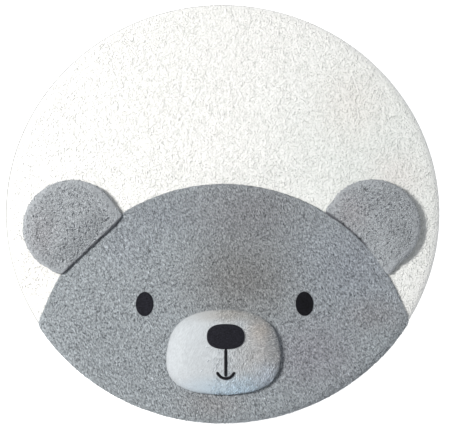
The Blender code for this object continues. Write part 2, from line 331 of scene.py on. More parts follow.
COLOUR_SOCKET = "NodeSocketColor"
VALUE_SOCKET = "NodeSocketFloat"
VECTOR_SOCKET = "NodeSocketVector"


class SharedEffects:
    """The node groups that more than one finish uses, each built when it is first asked for."""

    PATCH = "soft patch"
    DEPTH = "pile depth"
    FIBRE = "fibre grain"

    # The pile heights at which the painted gap shade is full and at which it ends
    GAP_LEVEL = 0.05
    TOP_LEVEL = 0.75
    FIBRE_DETAIL = 1.0
    FIBRE_WARP = 0.4
    DARKEST_FIBRE = 0.2

    @classmethod
    def get(cls, name: str) -> bpy.types.NodeTree:
        """Gives the group of that name, and builds it the first time."""
        makers = {cls.PATCH: cls.make_patch, cls.DEPTH: cls.make_depth, cls.FIBRE: cls.make_fibre}
        return bpy.data.node_groups.get(name) or makers[name]()

    @classmethod
    def make_patch(cls) -> bpy.types.NodeTree:
        """Builds a mask that fades from the middle of an oval to its edge.

        Returns:
            The group.
        """
        sockets = {
            "Position": VECTOR_SOCKET, "Centre": VECTOR_SOCKET, "Reach": VECTOR_SOCKET,
            "Strength": VALUE_SOCKET,
        }
        desk, entry = new_group(cls.PATCH, sockets, {"Mask": VALUE_SOCKET})
        away = desk.vector_maths("SUBTRACT", entry.outputs["Position"], entry.outputs["Centre"])
        shares = desk.vector_maths("DIVIDE", away, entry.outputs["Reach"])
        inside = desk.ease(desk.length(shares), 1.0, 0.0)
        desk.add("NodeGroupOutput", {"Mask": desk.maths("MULTIPLY", inside, entry.outputs["Strength"])})
        return desk.tree

    @classmethod
    def make_depth(cls) -> bpy.types.NodeTree:
        """Builds pile with painted shade down in its gaps, and with each curl in a tone of its own.

        Returns:
            The group.
        """
        sockets = {
            "Colour": COLOUR_SOCKET, "Gap Colour": COLOUR_SOCKET, "Height": VALUE_SOCKET,
            "Tone": VALUE_SOCKET, "Spread": VALUE_SOCKET,
        }
        desk, entry = new_group(cls.DEPTH, sockets, {"Colour": COLOUR_SOCKET})
        height = desk.ease(entry.outputs["Height"], cls.GAP_LEVEL, cls.TOP_LEVEL)
        # Painted shade: the colour darkened down in the pile's gaps
        in_gaps = desk.blend(1.0, entry.outputs["Colour"], entry.outputs["Gap Colour"], "MULTIPLY")
        deep = desk.blend(height, in_gaps, entry.outputs["Colour"])
        tone = desk.grey(desk.around_one(entry.outputs["Tone"], entry.outputs["Spread"]))
        desk.add("NodeGroupOutput", {"Colour": desk.blend(1.0, deep, tone, "MULTIPLY")})
        return desk.tree

    @classmethod
    def make_fibre(cls) -> bpy.types.NodeTree:
        """Builds fine fibres that lie along X once the place is turned, as a height and as a shade around 1.

        Returns:
            The group.
        """
        sockets = {
            "Position": VECTOR_SOCKET, "Turn": VALUE_SOCKET, "Stretch": VALUE_SOCKET, "Size": VALUE_SOCKET,
            "Contrast": VALUE_SOCKET,
        }
        desk, entry = new_group(cls.FIBRE, sockets, {"Height": VALUE_SOCKET, "Shade": COLOUR_SOCKET})
        feeds = {"Vector": entry.outputs["Position"], "Angle": entry.outputs["Turn"]}
        turned = desk.out("ShaderNodeVectorRotate", "Vector", feeds, rotation_type="Z_AXIS")
        lengthwise = desk.maths("DIVIDE", 1.0, entry.outputs["Stretch"])
        squeeze = desk.out("ShaderNodeCombineXYZ", "Vector", {"X": lengthwise, "Y": 1.0, "Z": 1.0})
        feeds = {
            "Vector": desk.vector_maths("MULTIPLY", turned, squeeze), "Detail": cls.FIBRE_DETAIL,
            "Scale": desk.maths("DIVIDE", 1.0, entry.outputs["Size"]), "Distortion": cls.FIBRE_WARP,
        }
        strands = desk.out("ShaderNodeTexNoise", "Fac", feeds, noise_dimensions="3D")
        level = desk.maths("MAXIMUM", desk.around_one(strands, entry.outputs["Contrast"]), cls.DARKEST_FIBRE)
        desk.add("NodeGroupOutput", {"Height": strands, "Shade": desk.grey(level)})
        return desk.tree


@dataclass(frozen=True)
class Tint:
    """A soft oval of another colour on the cloth: its middle, its reach, its colour and its strength."""

    name: str
    centre: Place
    reach: Place
    colour: Colour
    strength: float


@dataclass(frozen=True)
class Fabric:
    """A cloth's finish.

    Its sizes are in metres. The gap colour paints shade down between the curls by multiplying the cloth's
    colour, and the seam colour paints shade where the cloth dips into a seam. The tone spread is how far one
    curl differs from the next, and the flat share how much of the fibres' contrast is left where the pile
    lies flat. The tints' edges wander.
    """

    name: str
    colour: Colour
    gap_shade_colour: Colour
    tone_spread: float
    fibre_size: float
    fibre_contrast: float
    bump: float
    roughness: float
    sheen: float
    sheen_roughness: float
    fibre_deg: float = 0.0
    fibre_stretch: float = 1.0
    flat_share: float = 0.3
    seam_shade_colour: Colour = (0.50, 0.50, 0.52)
    tints: tuple[Tint, ...] = ()
    tint_wander: float = 0.030
    tint_wander_size: float = 0.060
    tint_wander_detail: float = 2.0
    specular: float = 0.15

    def tinted(self, desk: NodeDesk, position: bpy.types.NodeSocket) -> bpy.types.NodeSocket:
        """Lays the tints over the plain colour.

        Args:
            desk: The material's desk.
            position: The place on the object.

        Returns:
            The colour's socket.
        """
        plain = desk.add("ShaderNodeRGB").outputs["Color"]
        plain.default_value = opaque(self.colour)
        if not self.tints:
            return plain
        feeds = {"Vector": position, "Scale": 1 / self.tint_wander_size, "Detail": self.tint_wander_detail}
        clouds = desk.out("ShaderNodeTexNoise", "Color", feeds)
        centred = desk.vector_maths("SUBTRACT", clouds, (0.5, 0.5, 0.5))
        wandering = desk.vector_maths("ADD", position, desk.scaled(centred, self.tint_wander))
        colour = plain
        for tint in self.tints:
            feeds = {
                "Position": wandering, "Centre": (*tint.centre, 0.0), "Reach": (*tint.reach, 1.0),
                "Strength": tint.strength,
            }
            patch = SharedEffects.get(SharedEffects.PATCH)
            mask = desk.out("ShaderNodeGroup", "Mask", feeds, node_tree=patch, label=tint.name)
            colour = desk.blend(mask, colour, opaque(tint.colour))
        return colour

    def grain(self, desk: NodeDesk, position: bpy.types.NodeSocket) -> bpy.types.Node:
        """Adds the fibres, weaker where the pile lies flat.

        Args:
            desk: The material's desk.
            position: The place on the object.

        Returns:
            The fibres' node.
        """
        share = desk.maths("MULTIPLY_ADD", self.noted(desk, "cover"), 1 - self.flat_share, self.flat_share)
        feeds = {
            "Position": position, "Turn": math.radians(-self.fibre_deg), "Stretch": self.fibre_stretch,
            "Size": self.fibre_size, "Contrast": desk.maths("MULTIPLY", share, self.fibre_contrast),
        }
        return desk.add("ShaderNodeGroup", feeds, node_tree=SharedEffects.get(SharedEffects.FIBRE))

    @staticmethod
    def noted(desk: NodeDesk, name: str) -> bpy.types.NodeSocket:
        """Reads a number that the mesh's points hold under a name."""
        return desk.out("ShaderNodeAttribute", "Fac", attribute_name=name)

    def material(self) -> bpy.types.Material:
        """Builds the finish.

        Returns:
            The material.
        """
        made = bpy.data.materials.new(self.name)
        made.use_nodes = True
        desk = NodeDesk(made.node_tree)
        position = desk.out("ShaderNodeTexCoord", "Object")
        feeds = {
            # Painted shade down between the curls, as deep as the pile's height says
            "Colour": self.tinted(desk, position), "Gap Colour": opaque(self.gap_shade_colour),
            "Height": self.noted(desk, "pile"), "Tone": self.noted(desk, "tone"), "Spread": self.tone_spread,
        }
        depth = SharedEffects.get(SharedEffects.DEPTH)
        piled = desk.out("ShaderNodeGroup", "Colour", feeds, node_tree=depth)
        fibre = self.grain(desk, position)
        shaded = desk.blend(1.0, piled, fibre.outputs["Shade"], "MULTIPLY")
        feeds = {"Height": fibre.outputs["Height"], "Distance": self.bump}
        looks = {
            # Painted shade: the seam colour darkens the cloth where it dips into a seam
            "Base Color": desk.blend(self.noted(desk, "seam"), shaded, opaque(self.seam_shade_colour), "MULTIPLY"),
            "Normal": desk.out("ShaderNodeBump", "Normal", feeds),
            "Roughness": self.roughness,
            "Sheen Weight": self.sheen,
            "Sheen Roughness": self.sheen_roughness,
            "Specular IOR Level": self.specular,
        }
        shader = made.node_tree.nodes["Principled BSDF"]
        for name, value in looks.items():
            desk.feed(shader.inputs[name], value)
        return made


# Each fabric's gap colour and seam colour are painted shade
WHITE_FLEECE = Fabric(
    name="white teddy fleece", colour=(0.90, 0.895, 0.875), gap_shade_colour=(0.86, 0.87, 0.86), tone_spread=0.06,
    fibre_size=0.0040, fibre_contrast=0.12, bump=0.0006, roughness=0.95, sheen=0.15, sheen_roughness=0.6,
    # Painted shade for the rim's seam
    seam_shade_colour=(0.24, 0.245, 0.25),
    tints=(
        # Painted shade: above the head, and over the whole right side
        Tint("shade above the head", (0.02, 0.065), (0.34, 0.055), (0.80, 0.80, 0.78), 0.5),
        Tint("cool right side", (0.34, 0.10), (0.36, 0.46), (0.80, 0.825, 0.80), 0.75),
        Tint("warm patch, upper right", (0.30, 0.24), (0.13, 0.15), (0.83, 0.80, 0.765), 0.55),
        Tint("pink patch, right", (0.40, 0.06), (0.10, 0.10), (0.80, 0.755, 0.73), 0.5),
        Tint("warm patch, left", (-0.42, -0.16), (0.09, 0.12), (0.86, 0.84, 0.80), 0.5),
    ),
)
GREY_FLEECE_TINTS = (
    Tint("forehead, left", (-0.15, -0.03), (0.19, 0.09), (0.400, 0.432, 0.470), 0.7),
    Tint("cool band beside the left ear", (-0.22, -0.10), (0.10, 0.08), (0.455, 0.490, 0.532), 0.65),
    Tint("top of the head", (0.06, -0.02), (0.22, 0.14), (0.350, 0.353, 0.370), 0.8),
    # Painted shade where the fleece dips towards the muzzle
    Tint("brow between the eyes", (0.045, -0.180), (0.21, 0.16), (0.292, 0.283, 0.274), 0.75),
    Tint("right side", (0.30, -0.15), (0.21, 0.20), (0.422, 0.453, 0.508), 0.65),
    # Painted shadow that the muzzle casts on the head
    Tint("dark side of the muzzle", (0.20, -0.35), (0.15, 0.13), (0.416, 0.414, 0.456), 0.75),
    Tint("warm right cheek", (0.34, -0.26), (0.11, 0.06), (0.422, 0.418, 0.434), 0.6),
    Tint("chin", (-0.02, -0.46), (0.12, 0.05), (0.412, 0.398, 0.400), 0.6),
    Tint("cool right chin", (0.22, -0.435), (0.10, 0.04), (0.450, 0.482, 0.515), 0.5),
)
GREY_FLEECE = Fabric(
    name="grey teddy fleece", colour=(0.475, 0.512, 0.540), gap_shade_colour=(0.40, 0.41, 0.42), tone_spread=0.55,
    fibre_size=0.0023, fibre_contrast=2.60, bump=0.0010, roughness=0.95, sheen=0.12, sheen_roughness=0.6,
    fibre_deg=114, fibre_stretch=2.8, tints=GREY_FLEECE_TINTS,
)
EAR_FLEECE = Fabric(
    name="grey teddy fleece, ears", colour=(0.475, 0.500, 0.525), gap_shade_colour=(0.30, 0.31, 0.32),
    tone_spread=0.40, fibre_size=0.0019, fibre_contrast=2.60, bump=0.0008, roughness=0.95, sheen=0.15,
    # Painted shade for the seam at the ears' base
    sheen_roughness=0.6, fibre_deg=40, fibre_stretch=1.3, seam_shade_colour=(0.28, 0.28, 0.30),
    tints=(
        Tint("left ear, outer side", (-0.41, -0.08), (0.06, 0.09), (0.425, 0.425, 0.448), 0.7),
        Tint("right ear, inner side", (0.29, -0.03), (0.06, 0.08), (0.455, 0.445, 0.465), 0.7),
    ),
)
CREAM_PLUSH = Fabric(
    name="cream plush", colour=(0.665, 0.702, 0.730), gap_shade_colour=(0.74, 0.73, 0.73), tone_spread=0.46,
    fibre_size=0.0018, fibre_contrast=1.15, bump=0.0005, roughness=0.92, sheen=0.2, sheen_roughness=0.5,
    fibre_deg=64, fibre_stretch=5.0,
    tints=(
        # All five tints are painted light: shade on the top, the right side and the upper right, and cool
        # light from below on the underside and the lower right
        Tint("grey top", (0.015, -0.262), (0.12, 0.040), (0.570, 0.557, 0.532), 0.95),
        Tint("shaded right side", (0.09, -0.36), (0.10, 0.10), (0.602, 0.588, 0.582), 0.8),
        Tint("warm upper right", (0.085, -0.30), (0.05, 0.05), (0.622, 0.566, 0.518), 0.75),
        Tint("cool underside", (0.03, -0.436), (0.18, 0.048), (0.628, 0.762, 0.868), 0.95),
        Tint("pale lower right", (0.105, -0.405), (0.060, 0.050), (0.765, 0.835, 0.920), 0.8),
    ),
)
BLACK_FELT = Fabric(
    name="black felt", colour=(0.0130, 0.0130, 0.0180), gap_shade_colour=(0.8, 0.8, 0.8), tone_spread=0.0,
    fibre_size=0.0030, fibre_contrast=2.2, bump=0.0006, roughness=0.9, sheen=0.04, sheen_roughness=0.5,
    tints=(Tint("right eye", (0.184, -0.236), (0.06, 0.08), (0.0040, 0.0040, 0.0056), 0.95),),
)
BLACK_THREAD = Fabric(
    name="black satin thread", colour=(0.011, 0.011, 0.014), gap_shade_colour=(0.6, 0.6, 0.6), tone_spread=0.1,
    fibre_size=0.0005, fibre_contrast=0.3, bump=0.0001, roughness=0.5, sheen=0.0, sheen_roughness=0.5,
)


class Slot(Enum):
    """The record's material slots."""

    WHITE_FLEECE = "white_fleece"
    GREY_FLEECE = "grey_fleece"
    CREAM_PLUSH = "cream_plush"
    BLACK_FELT = "black_felt"
    BLACK_THREAD = "black_thread"


@dataclass(frozen=True)
class Wave:
    """One soft wave of the mat's top."""

    heading_deg: float
    length: float
    height: float
    phase_deg: float


@dataclass(frozen=True)
class MatForm:
    """The mat's form, which everything else lies on. Its cloth is flat, then rolls down to its rim's seam."""

    radius: float = 0.500
    thick: float = 0.018
    seam_height: float = 0.008
    rim_roll: float = 0.024
    wave_fade: float = 0.060
    waves: tuple[Wave, ...] = (
        Wave(heading_deg=12, length=0.46, height=0.0005, phase_deg=40),
        Wave(heading_deg=104, length=0.52, height=0.0004, phase_deg=200),
        Wave(heading_deg=61, length=0.61, height=0.0003, phase_deg=310),
    )

    @property
    def flat_radius(self) -> float:
        """How far the top cover is flat."""
        return self.radius - self.rim_roll

    @property
    def roll_length(self) -> float:
        """The length of the cloth that rolls down, a quarter of an ellipse by the usual close formula."""
        a, b = self.rim_roll, self.thick - self.seam_height
        return math.pi / 4 * (3 * (a + b) - math.sqrt((3 * a + b) * (a + 3 * b)))

    @property
    def cloth_radius(self) -> float:
        """How far the cloth reaches from the middle to the seam, measured along itself."""
        return self.flat_radius + self.roll_length

    def wave_height(self, x: Points, y: Points) -> Points:
        """How far the top stands above its mean level, fading out towards the rim.

        Args:
            x: Where the places are across the mat.
            y: Where they are along it.

        Returns:
            The heights.
        """
        total = np.zeros_like(x)
        for wave in self.waves:
            heading = math.radians(wave.heading_deg)
            along = x * math.cos(heading) + y * math.sin(heading)
            total += wave.height * np.cos(math.tau * along / wave.length + math.radians(wave.phase_deg))
        return total * smoothstep((self.radius - np.hypot(x, y)) / self.wave_fade)

    def drape(self, cut: Points, lift: Points, lift_at_seam: Points) -> Points:
        """Lays flat-cut cloth over the mat and its rim.

        Args:
            cut: Places on the flat cloth, measured along it from the mat's middle.
            lift: How far each place is off the mat's top.
            lift_at_seam: The same at the seam.

        Returns:
            The places on the mat.
        """
        reach = np.maximum(np.hypot(cut[:, 0], cut[:, 1]), TINY)
        turned = np.clip((reach - self.flat_radius) / self.roll_length, 0.0, 1.0)
        angle = turned * math.pi / 2
        drop = self.thick - self.seam_height
        outward = drop * np.sin(angle)
        upward = self.rim_roll * np.cos(angle)
        steep = np.hypot(outward, upward)
        off = lift + (lift_at_seam - lift) * smoothstep(turned)
        radius = np.minimum(reach, self.flat_radius) + self.rim_roll * np.sin(angle) + off * outward / steep
        x, y = cut[:, 0] / reach * radius, cut[:, 1] / reach * radius
        z = self.seam_height + drop * np.cos(angle) + off * upward / steep + self.wave_height(x, y)
        return np.stack([x, y, z], axis=1)


MAT = MatForm()


class Outline:
    """The edge of a flat piece. A kind of outline says how far it reaches and how deep a place lies in it."""

    centre: Place

    def reach(self, angles: Points) -> Points:
        """How far the edge lies from the centre in each direction."""
        raise NotImplementedError

    def depth(self, x: Points, y: Points) -> Points:
        """How far inside the edge each place lies, less than 0 outside."""
        away_x, away_y = x - self.centre[0], y - self.centre[1]
        return self.reach(np.arctan2(away_y, away_x)) - np.hypot(away_x, away_y)


@dataclass(frozen=True)
class RoundedOutline(Outline):
    """An outline between an ellipse (squareness 2) and a rectangle."""

    centre: Place
    half_width: float
    half_length: float
    squareness: float = 2.0

    def reach(self, angles: Points) -> Points:
        """How far the edge lies from the centre in each direction.

        Args:
            angles: The directions.

        Returns:
            The distances.
        """
        across = np.abs(np.cos(angles) / self.half_width) ** self.squareness
        along = np.abs(np.sin(angles) / self.half_length) ** self.squareness
        return (across + along) ** (-1 / self.squareness)


@dataclass(frozen=True)
class HeadOutline(Outline):
    """A disc of fleece, cut off where the mat's cloth ends. Its edge is measured from the centre."""

    centre: Place = (0.0035, -0.2200)
    disc_centre: Place = (0.0035, -0.3800)
    disc_radius: float = 0.4265

    def reach(self, angles: Points) -> Points:
        """How far the edge lies from the centre in each direction.

        Args:
            angles: The directions.

        Returns:
            The distances.
        """
        nearest = np.full_like(angles, math.inf)
        for middle, radius in ((self.disc_centre, self.disc_radius), ((0.0, 0.0), MAT.cloth_radius)):
            x, y = self.centre[0] - middle[0], self.centre[1] - middle[1]
            along = x * np.cos(angles) + y * np.sin(angles)
            nearest = np.minimum(nearest, np.sqrt(along**2 - x * x - y * y + radius**2) - along)
        return nearest

    def disc_depth(self, x: Points, y: Points) -> Points:
        """How far inside the uncut disc each place lies."""
        return self.disc_radius - np.hypot(x - self.disc_centre[0], y - self.disc_centre[1])


@dataclass(frozen=True)
class EarForm:
    """Where an ear is. The left one ends at a straight base, the right one at the head's edge.

    The corner stretch is how far the sewing draws the base's clockwise and anticlockwise ends out, and the
    tuck how far in. Painted shade marks the seam from the clockwise end up to a place along the base.
    """

    centre: Place
    base_deg: float
    base_offset: float
    corner_stretch: Place
    corner_tuck: float
    seam_shade_end: float
    meets_head_edge: bool = False
    radius: float = 0.1085

    def rim_depth(self, x: Points, y: Points) -> Points:
        """How far inside the ear's round rim each place lies."""
        return self.radius - np.hypot(x - self.centre[0], y - self.centre[1])

    def base_depth(self, x: Points, y: Points) -> Points:
        """How far each place lies from the line of the ear's base, more than 0 on the ear.

        Args:
            x: Where the places are across the mat.
            y: Where they are along it.

        Returns:
            The distances.
        """
        heading = math.radians(self.base_deg)
        along = (x - self.centre[0]) * math.cos(heading) + (y - self.centre[1]) * math.sin(heading)
        return self.base_offset - along

    def seam_depth(self, x: Points, y: Points) -> Points:
        """How far each place lies from the seam that joins the ear to the head, more than 0 on the ear."""
        return -HEAD.disc_depth(x, y) if self.meets_head_edge else self.base_depth(x, y)

    def along_base(self, x: Points, y: Points) -> Points:
        """How far each place lies from the base's middle, measured along the base."""
        heading = math.radians(self.base_deg)
        return (y - self.centre[1]) * math.cos(heading) - (x - self.centre[0]) * math.sin(heading)

    def depth(self, x: Points, y: Points) -> Points:
        """How far inside the ear each place lies."""
        return np.minimum(self.rim_depth(x, y), self.base_depth(x, y))


@dataclass(frozen=True)
class MouthForm:
    """The mouth: a line down from the nose, and a smile."""

    smile_middle: Place = (0.0070, -0.3905)
    smile_radius: float = 0.0204
    smile_half_deg: float = 68.0
    top: float = -0.3490
    width: float = 0.0074

    @property
    def bottom(self) -> float:
        """Where the line meets the smile."""
        return self.smile_middle[1] - self.smile_radius + self.width / 2

    def away(self, x: Points, y: Points) -> Points:
        """How far each place lies from the line or the smile, whichever is nearer.

        Args:
            x: Where the places are across the mat.
            y: Where they are along it.

        Returns:
            The distances.
        """
        across, down = x - self.smile_middle[0], y - self.smile_middle[1]
        line = np.hypot(across, y - np.clip(y, self.bottom, self.top))
        half = math.radians(self.smile_half_deg)
        turn = np.clip(np.arctan2(across, -down), -half, half)
        smile = np.hypot(across - self.smile_radius * np.sin(turn), down + self.smile_radius * np.cos(turn))
        return np.minimum(line, smile)


HEAD = HeadOutline()
LEFT_EAR = EarForm(
    centre=(-0.3465, -0.0580), base_deg=-44.6, base_offset=0.0640, corner_stretch=(0.005, 0.010),
    corner_tuck=0.003, seam_shade_end=0.120,
)
RIGHT_EAR = EarForm(
    centre=(0.3440, -0.0540), base_deg=223.8, base_offset=0.0500, corner_stretch=(0.010, 0.018),
    corner_tuck=0.008, seam_shade_end=0.044, meets_head_edge=True,
)
MUZZLE = RoundedOutline(centre=(0.0030, -0.3450), half_width=0.1270, half_length=0.0950, squareness=2.5)
NOSE = RoundedOutline(centre=(0.0070, -0.3200), half_width=0.0415, half_length=0.0285, squareness=2.5)
MOUTH = MouthForm()
EYES = {
    "eye_left": RoundedOutline(centre=(-0.1755, -0.2365), half_width=0.0198, half_length=0.0280),
    "eye_right": RoundedOutline(centre=(0.1840, -0.2360), half_width=0.0198, half_length=0.0280),
}


@dataclass(frozen=True)
class CurlShape:
    """One small curl of pile: a three-sided worm, arched off the cloth and bent to one side.

    A short curl is pointed at both ends of one ring of points. A long one has two such rings. Its ends dip
    into the cloth by the foot's share of its arch, and its lowest points count as that level of the pile.
    """

    length: float
    thick: float
    arch: float
    bow: float
    is_long: bool = False
    body_share: float = 0.45
    foot_share: float = 0.25
    lowest_level: float = 0.3

    def worm(self) -> bmesh.types.BMesh:
        """Builds the straight worm, along Z and pointed at both ends.

        Returns:
            The worm.
        """
        mesh = bmesh.new()
        half = self.thick / 2
        far = half if self.is_long else 0.0
        body = self.length * self.body_share if self.is_long else self.length / 2
        bmesh.ops.create_cone(mesh, cap_ends=True, segments=3, radius1=half, radius2=far, depth=body)
        ends = (-body / 2, body / 2) if self.is_long else (-body / 2,)
        caps = [
            face for face in mesh.faces
            if any(all(abs(vert.co.z - end) < SAME_PLACE for vert in face.verts) for end in ends)
        ]
        for tip in bmesh.ops.poke(mesh, faces=caps)["verts"]:
            tip.co.z += math.copysign((self.length - body) / 2 if self.is_long else body, tip.co.z)
        if not self.is_long:
            bmesh.ops.translate(mesh, verts=mesh.verts, vec=(0, 0, body / 2))
        return mesh

    def build(self, name: str) -> bpy.types.Object:
        """Builds the curl as an object that isn't in the scene.

        Args:
            name: The object's name.

        Returns:
            The object.
        """
        mesh = self.worm()
        bmesh.ops.rotate(mesh, verts=mesh.verts, matrix=Matrix.Rotation(math.pi / 2, 3, "Y"))
        for vert in mesh.verts:
            share = 1 - (2 * vert.co.x / self.length) ** 2
            vert.co.y += self.bow * (share - 0.5)
            vert.co.z += self.arch * (share - self.foot_share)
        bmesh.ops.triangulate(mesh, faces=mesh.faces)
        bmesh.ops.recalc_face_normals(mesh, faces=mesh.faces)
        data = finished(name, mesh)
        heights = coordinates(data)[:, 2]
        note(data, "pile", lifted(self.lowest_level, (heights - heights.min()) / np.ptp(heights)))
        note(data, "cover", np.ones(len(heights)))
        return bpy.data.objects.new(name, data)


class Draw(Enum):
    """What is drawn by chance for each curl."""

    TURN = 1
    SIZE = 2
    TONE = 3


@dataclass(frozen=True)
class Noise:
    """How a noise looks beyond its size: its detail and how far it is warped."""

    detail: float
    warp: float


@dataclass(frozen=True)
class Pile:
    """A cloth's pile: crinkled ridges in the cloth itself, and curls that stand on it.

    The ridges are measured from the cloth's mean level, and the cloth sinks by a little so that the curls end
    near the solid's surface. The fold is how far a ridge reaches from a noise's middle value, and the bare
    level what cloth without pile counts as. Flow is the curls' heading, and scatter how far they turn from
    it. The crowding is how many curls are tried for each square of the spacing.
    """

    ridge_size: float
    ridge_height: float
    swell_size: float
    swell_height: float
    sink: float
    curl_spacing: float
    curl_shapes: tuple[CurlShape, ...]
    crinkle: Noise = Noise(detail=1.5, warp=0.9)
    swell: Noise = Noise(detail=1.0, warp=1.0)
    flow: Noise = Noise(detail=1.0, warp=0.0)
    fold: float = 0.16
    bare_level: float = 0.6
    crowding: float = 2.2
    flow_deg: float = 0.0
    flow_wander_deg: float = 180.0
    flow_size: float = 0.05
    scatter_deg: float = 180.0
    smallest: float = 0.7
    largest: float = 1.25
    seed: int = 1

    def raise_ridges(self, thing: bpy.types.Object) -> None:
        """Raises the ridges on an object's mesh, as far as its "cover" lets them.

        Args:
            thing: The object.
        """
        desk, entry = self.start("ridges")
        cover = self.noted(desk, "cover")
        folded = desk.maths("ABSOLUTE", self.cloud(desk, self.ridge_size, self.crinkle))
        ridge = desk.ease(folded, self.fold, 0.0)
        swell = self.cloud(desk, self.swell_size, self.swell)
        raised = desk.maths("MULTIPLY", desk.maths("SUBTRACT", ridge, 0.5), self.ridge_height)
        raised = desk.maths("MULTIPLY_ADD", swell, 2 * self.swell_height, raised)
        offset = desk.maths("MULTIPLY", desk.maths("SUBTRACT", raised, self.sink), cover)
        along = desk.scaled(desk.out("GeometryNodeInputNormal", "Normal"), offset)
        feeds = {"Geometry": entry.outputs[0], "Offset": along}
        moved = desk.out("GeometryNodeSetPosition", "Geometry", feeds)
        feeds = {"Geometry": moved, "Name": "pile", "Value": desk.mix(cover, self.bare_level, ridge)}
        levelled = desk.out(
            "GeometryNodeStoreNamedAttribute", "Geometry", feeds, data_type="FLOAT", domain="POINT"
        )
        desk.add("NodeGroupOutput", {"Geometry": levelled})
        self.run(thing, desk.tree)

    def grow_curls(self, thing: bpy.types.Object, name: str) -> bpy.types.Object:
        """Grows curls on an object, as densely as its "curls" number says.

        Args:
            thing: The cloth that they stand on.
            name: The new object's name.

        Returns:
            The curls, as one object.
        """
        shapes = bpy.data.collections.new(name + "_shapes")
        for i, shape in enumerate(self.curl_shapes):
            shapes.objects.link(shape.build(f"{name}_shape_{i}"))
        desk, entry = self.start("curls")
        feeds = {
            "Mesh": entry.outputs[0], "Distance Min": self.curl_spacing, "Seed": self.seed,
            "Density Max": self.crowding / self.curl_spacing**2, "Density Factor": self.noted(desk, "curls"),
        }
        roots = desk.add("GeometryNodeDistributePointsOnFaces", feeds, distribute_method="POISSON")
        feeds = {
            "Points": desk.pick(roots.outputs, "Points"), "Pick Instance": True,
            "Instance": self.kinds(desk, shapes),
            "Rotation": self.heading(desk, desk.pick(roots.outputs, "Rotation")),
            "Scale": self.chance(desk, self.smallest, self.largest, Draw.SIZE),
        }
        placed = desk.out("GeometryNodeInstanceOnPoints", "Instances", feeds)
        feeds = {"Geometry": placed, "Name": "tone", "Value": self.chance(desk, 0.0, 1.0, Draw.TONE)}
        toned = desk.out(
            "GeometryNodeStoreNamedAttribute", "Geometry", feeds, data_type="FLOAT", domain="INSTANCE"
        )
        real = desk.out("GeometryNodeRealizeInstances", "Geometry", {"Geometry": toned})
        desk.add("NodeGroupOutput", {"Geometry": real})
        curls = shown(name, thing.data.copy())
        self.run(curls, desk.tree)
        curls.data.materials.clear()
        for shape in list(shapes.objects):
            bpy.data.objects.remove(shape)
        bpy.data.collections.remove(shapes)
        return curls

    def heading(self, desk: NodeDesk, upright: bpy.types.NodeSocket) -> bpy.types.NodeSocket:
        """Turns each curl along the flow, which wanders, and scatters it from there.

        Args:
            desk: The tree's desk.
            upright: The rotation that stands a curl upright on the cloth.

        Returns:
            The curl's rotation.
        """
        wander = self.cloud(desk, self.flow_size, self.flow)
        widest = math.radians(self.flow_wander_deg) / NOISE_REACH
        along_flow = desk.maths("MULTIPLY_ADD", wander, widest, math.radians(self.flow_deg))
        scatter = math.radians(self.scatter_deg)
        turn = desk.maths("ADD", along_flow, self.chance(desk, -scatter, scatter, Draw.TURN))
        spin = desk.out("FunctionNodeAxisAngleToRotation", "Rotation", {"Axis": (0, 0, 1), "Angle": turn})
        feeds = {"Rotation": upright, "Rotate By": spin}
        return desk.out("FunctionNodeRotateRotation", "Rotation", feeds, rotation_space="LOCAL")

    def chance(self, desk: NodeDesk, low: float, high: float, draw: Draw) -> bpy.types.NodeSocket:
        """A number drawn for each curl."""
        feeds = {"Min": low, "Max": high, "Seed": self.seed * 10 + draw.value}
        return desk.out("FunctionNodeRandomValue", "Value", feeds, data_type="FLOAT")

    @staticmethod
    def kinds(desk: NodeDesk, shapes: bpy.types.Collection) -> bpy.types.NodeSocket:
        """The curls to pick from."""
        feeds = {"Collection": shapes, "Separate Children": True, "Reset Children": True}
        return desk.out("GeometryNodeCollectionInfo", "Instances", feeds)

    @staticmethod
    def cloud(desk: NodeDesk, size: float, noise: Noise) -> bpy.types.NodeSocket:
        """A noise around 0 that changes over the cloth.

        Args:
            desk: The tree's desk.
            size: The size of its patches.
            noise: How it looks.

        Returns:
            The noise's value.
        """
        position = desk.out("GeometryNodeInputPosition", "Position")
        feeds = {"Vector": position, "Scale": 1 / size, "Detail": noise.detail, "Distortion": noise.warp}
        return desk.maths("SUBTRACT", desk.out("ShaderNodeTexNoise", "Fac", feeds), 0.5)

    @staticmethod
    def start(name: str) -> tuple[NodeDesk, bpy.types.Node]:
        """Starts a geometry tree.

        Args:
            name: Its name.

        Returns:
            The tree's desk and its input node.
        """
        tree = bpy.data.node_groups.new(name, "GeometryNodeTree")
        for direction in ("INPUT", "OUTPUT"):
            tree.interface.new_socket("Geometry", in_out=direction, socket_type="NodeSocketGeometry")
        desk = NodeDesk(tree)
        return desk, desk.add("NodeGroupInput")

    @staticmethod
    def noted(desk: NodeDesk, name: str) -> bpy.types.NodeSocket:
        """The number that a mesh's points hold under a name."""
        return desk.out("GeometryNodeInputNamedAttribute", "Attribute", {"Name": name}, data_type="FLOAT")

    @staticmethod
    def run(thing: bpy.types.Object, tree: bpy.types.NodeTree) -> None:
        """Runs a geometry tree on an object, and keeps what it makes.

        Args:
            thing: The object.
            tree: The tree, which is removed afterwards.
        """
        modifier = thing.modifiers.new(tree.name, "NODES")
        modifier.node_group = tree
        settle(thing)
        bpy.data.node_groups.remove(tree)


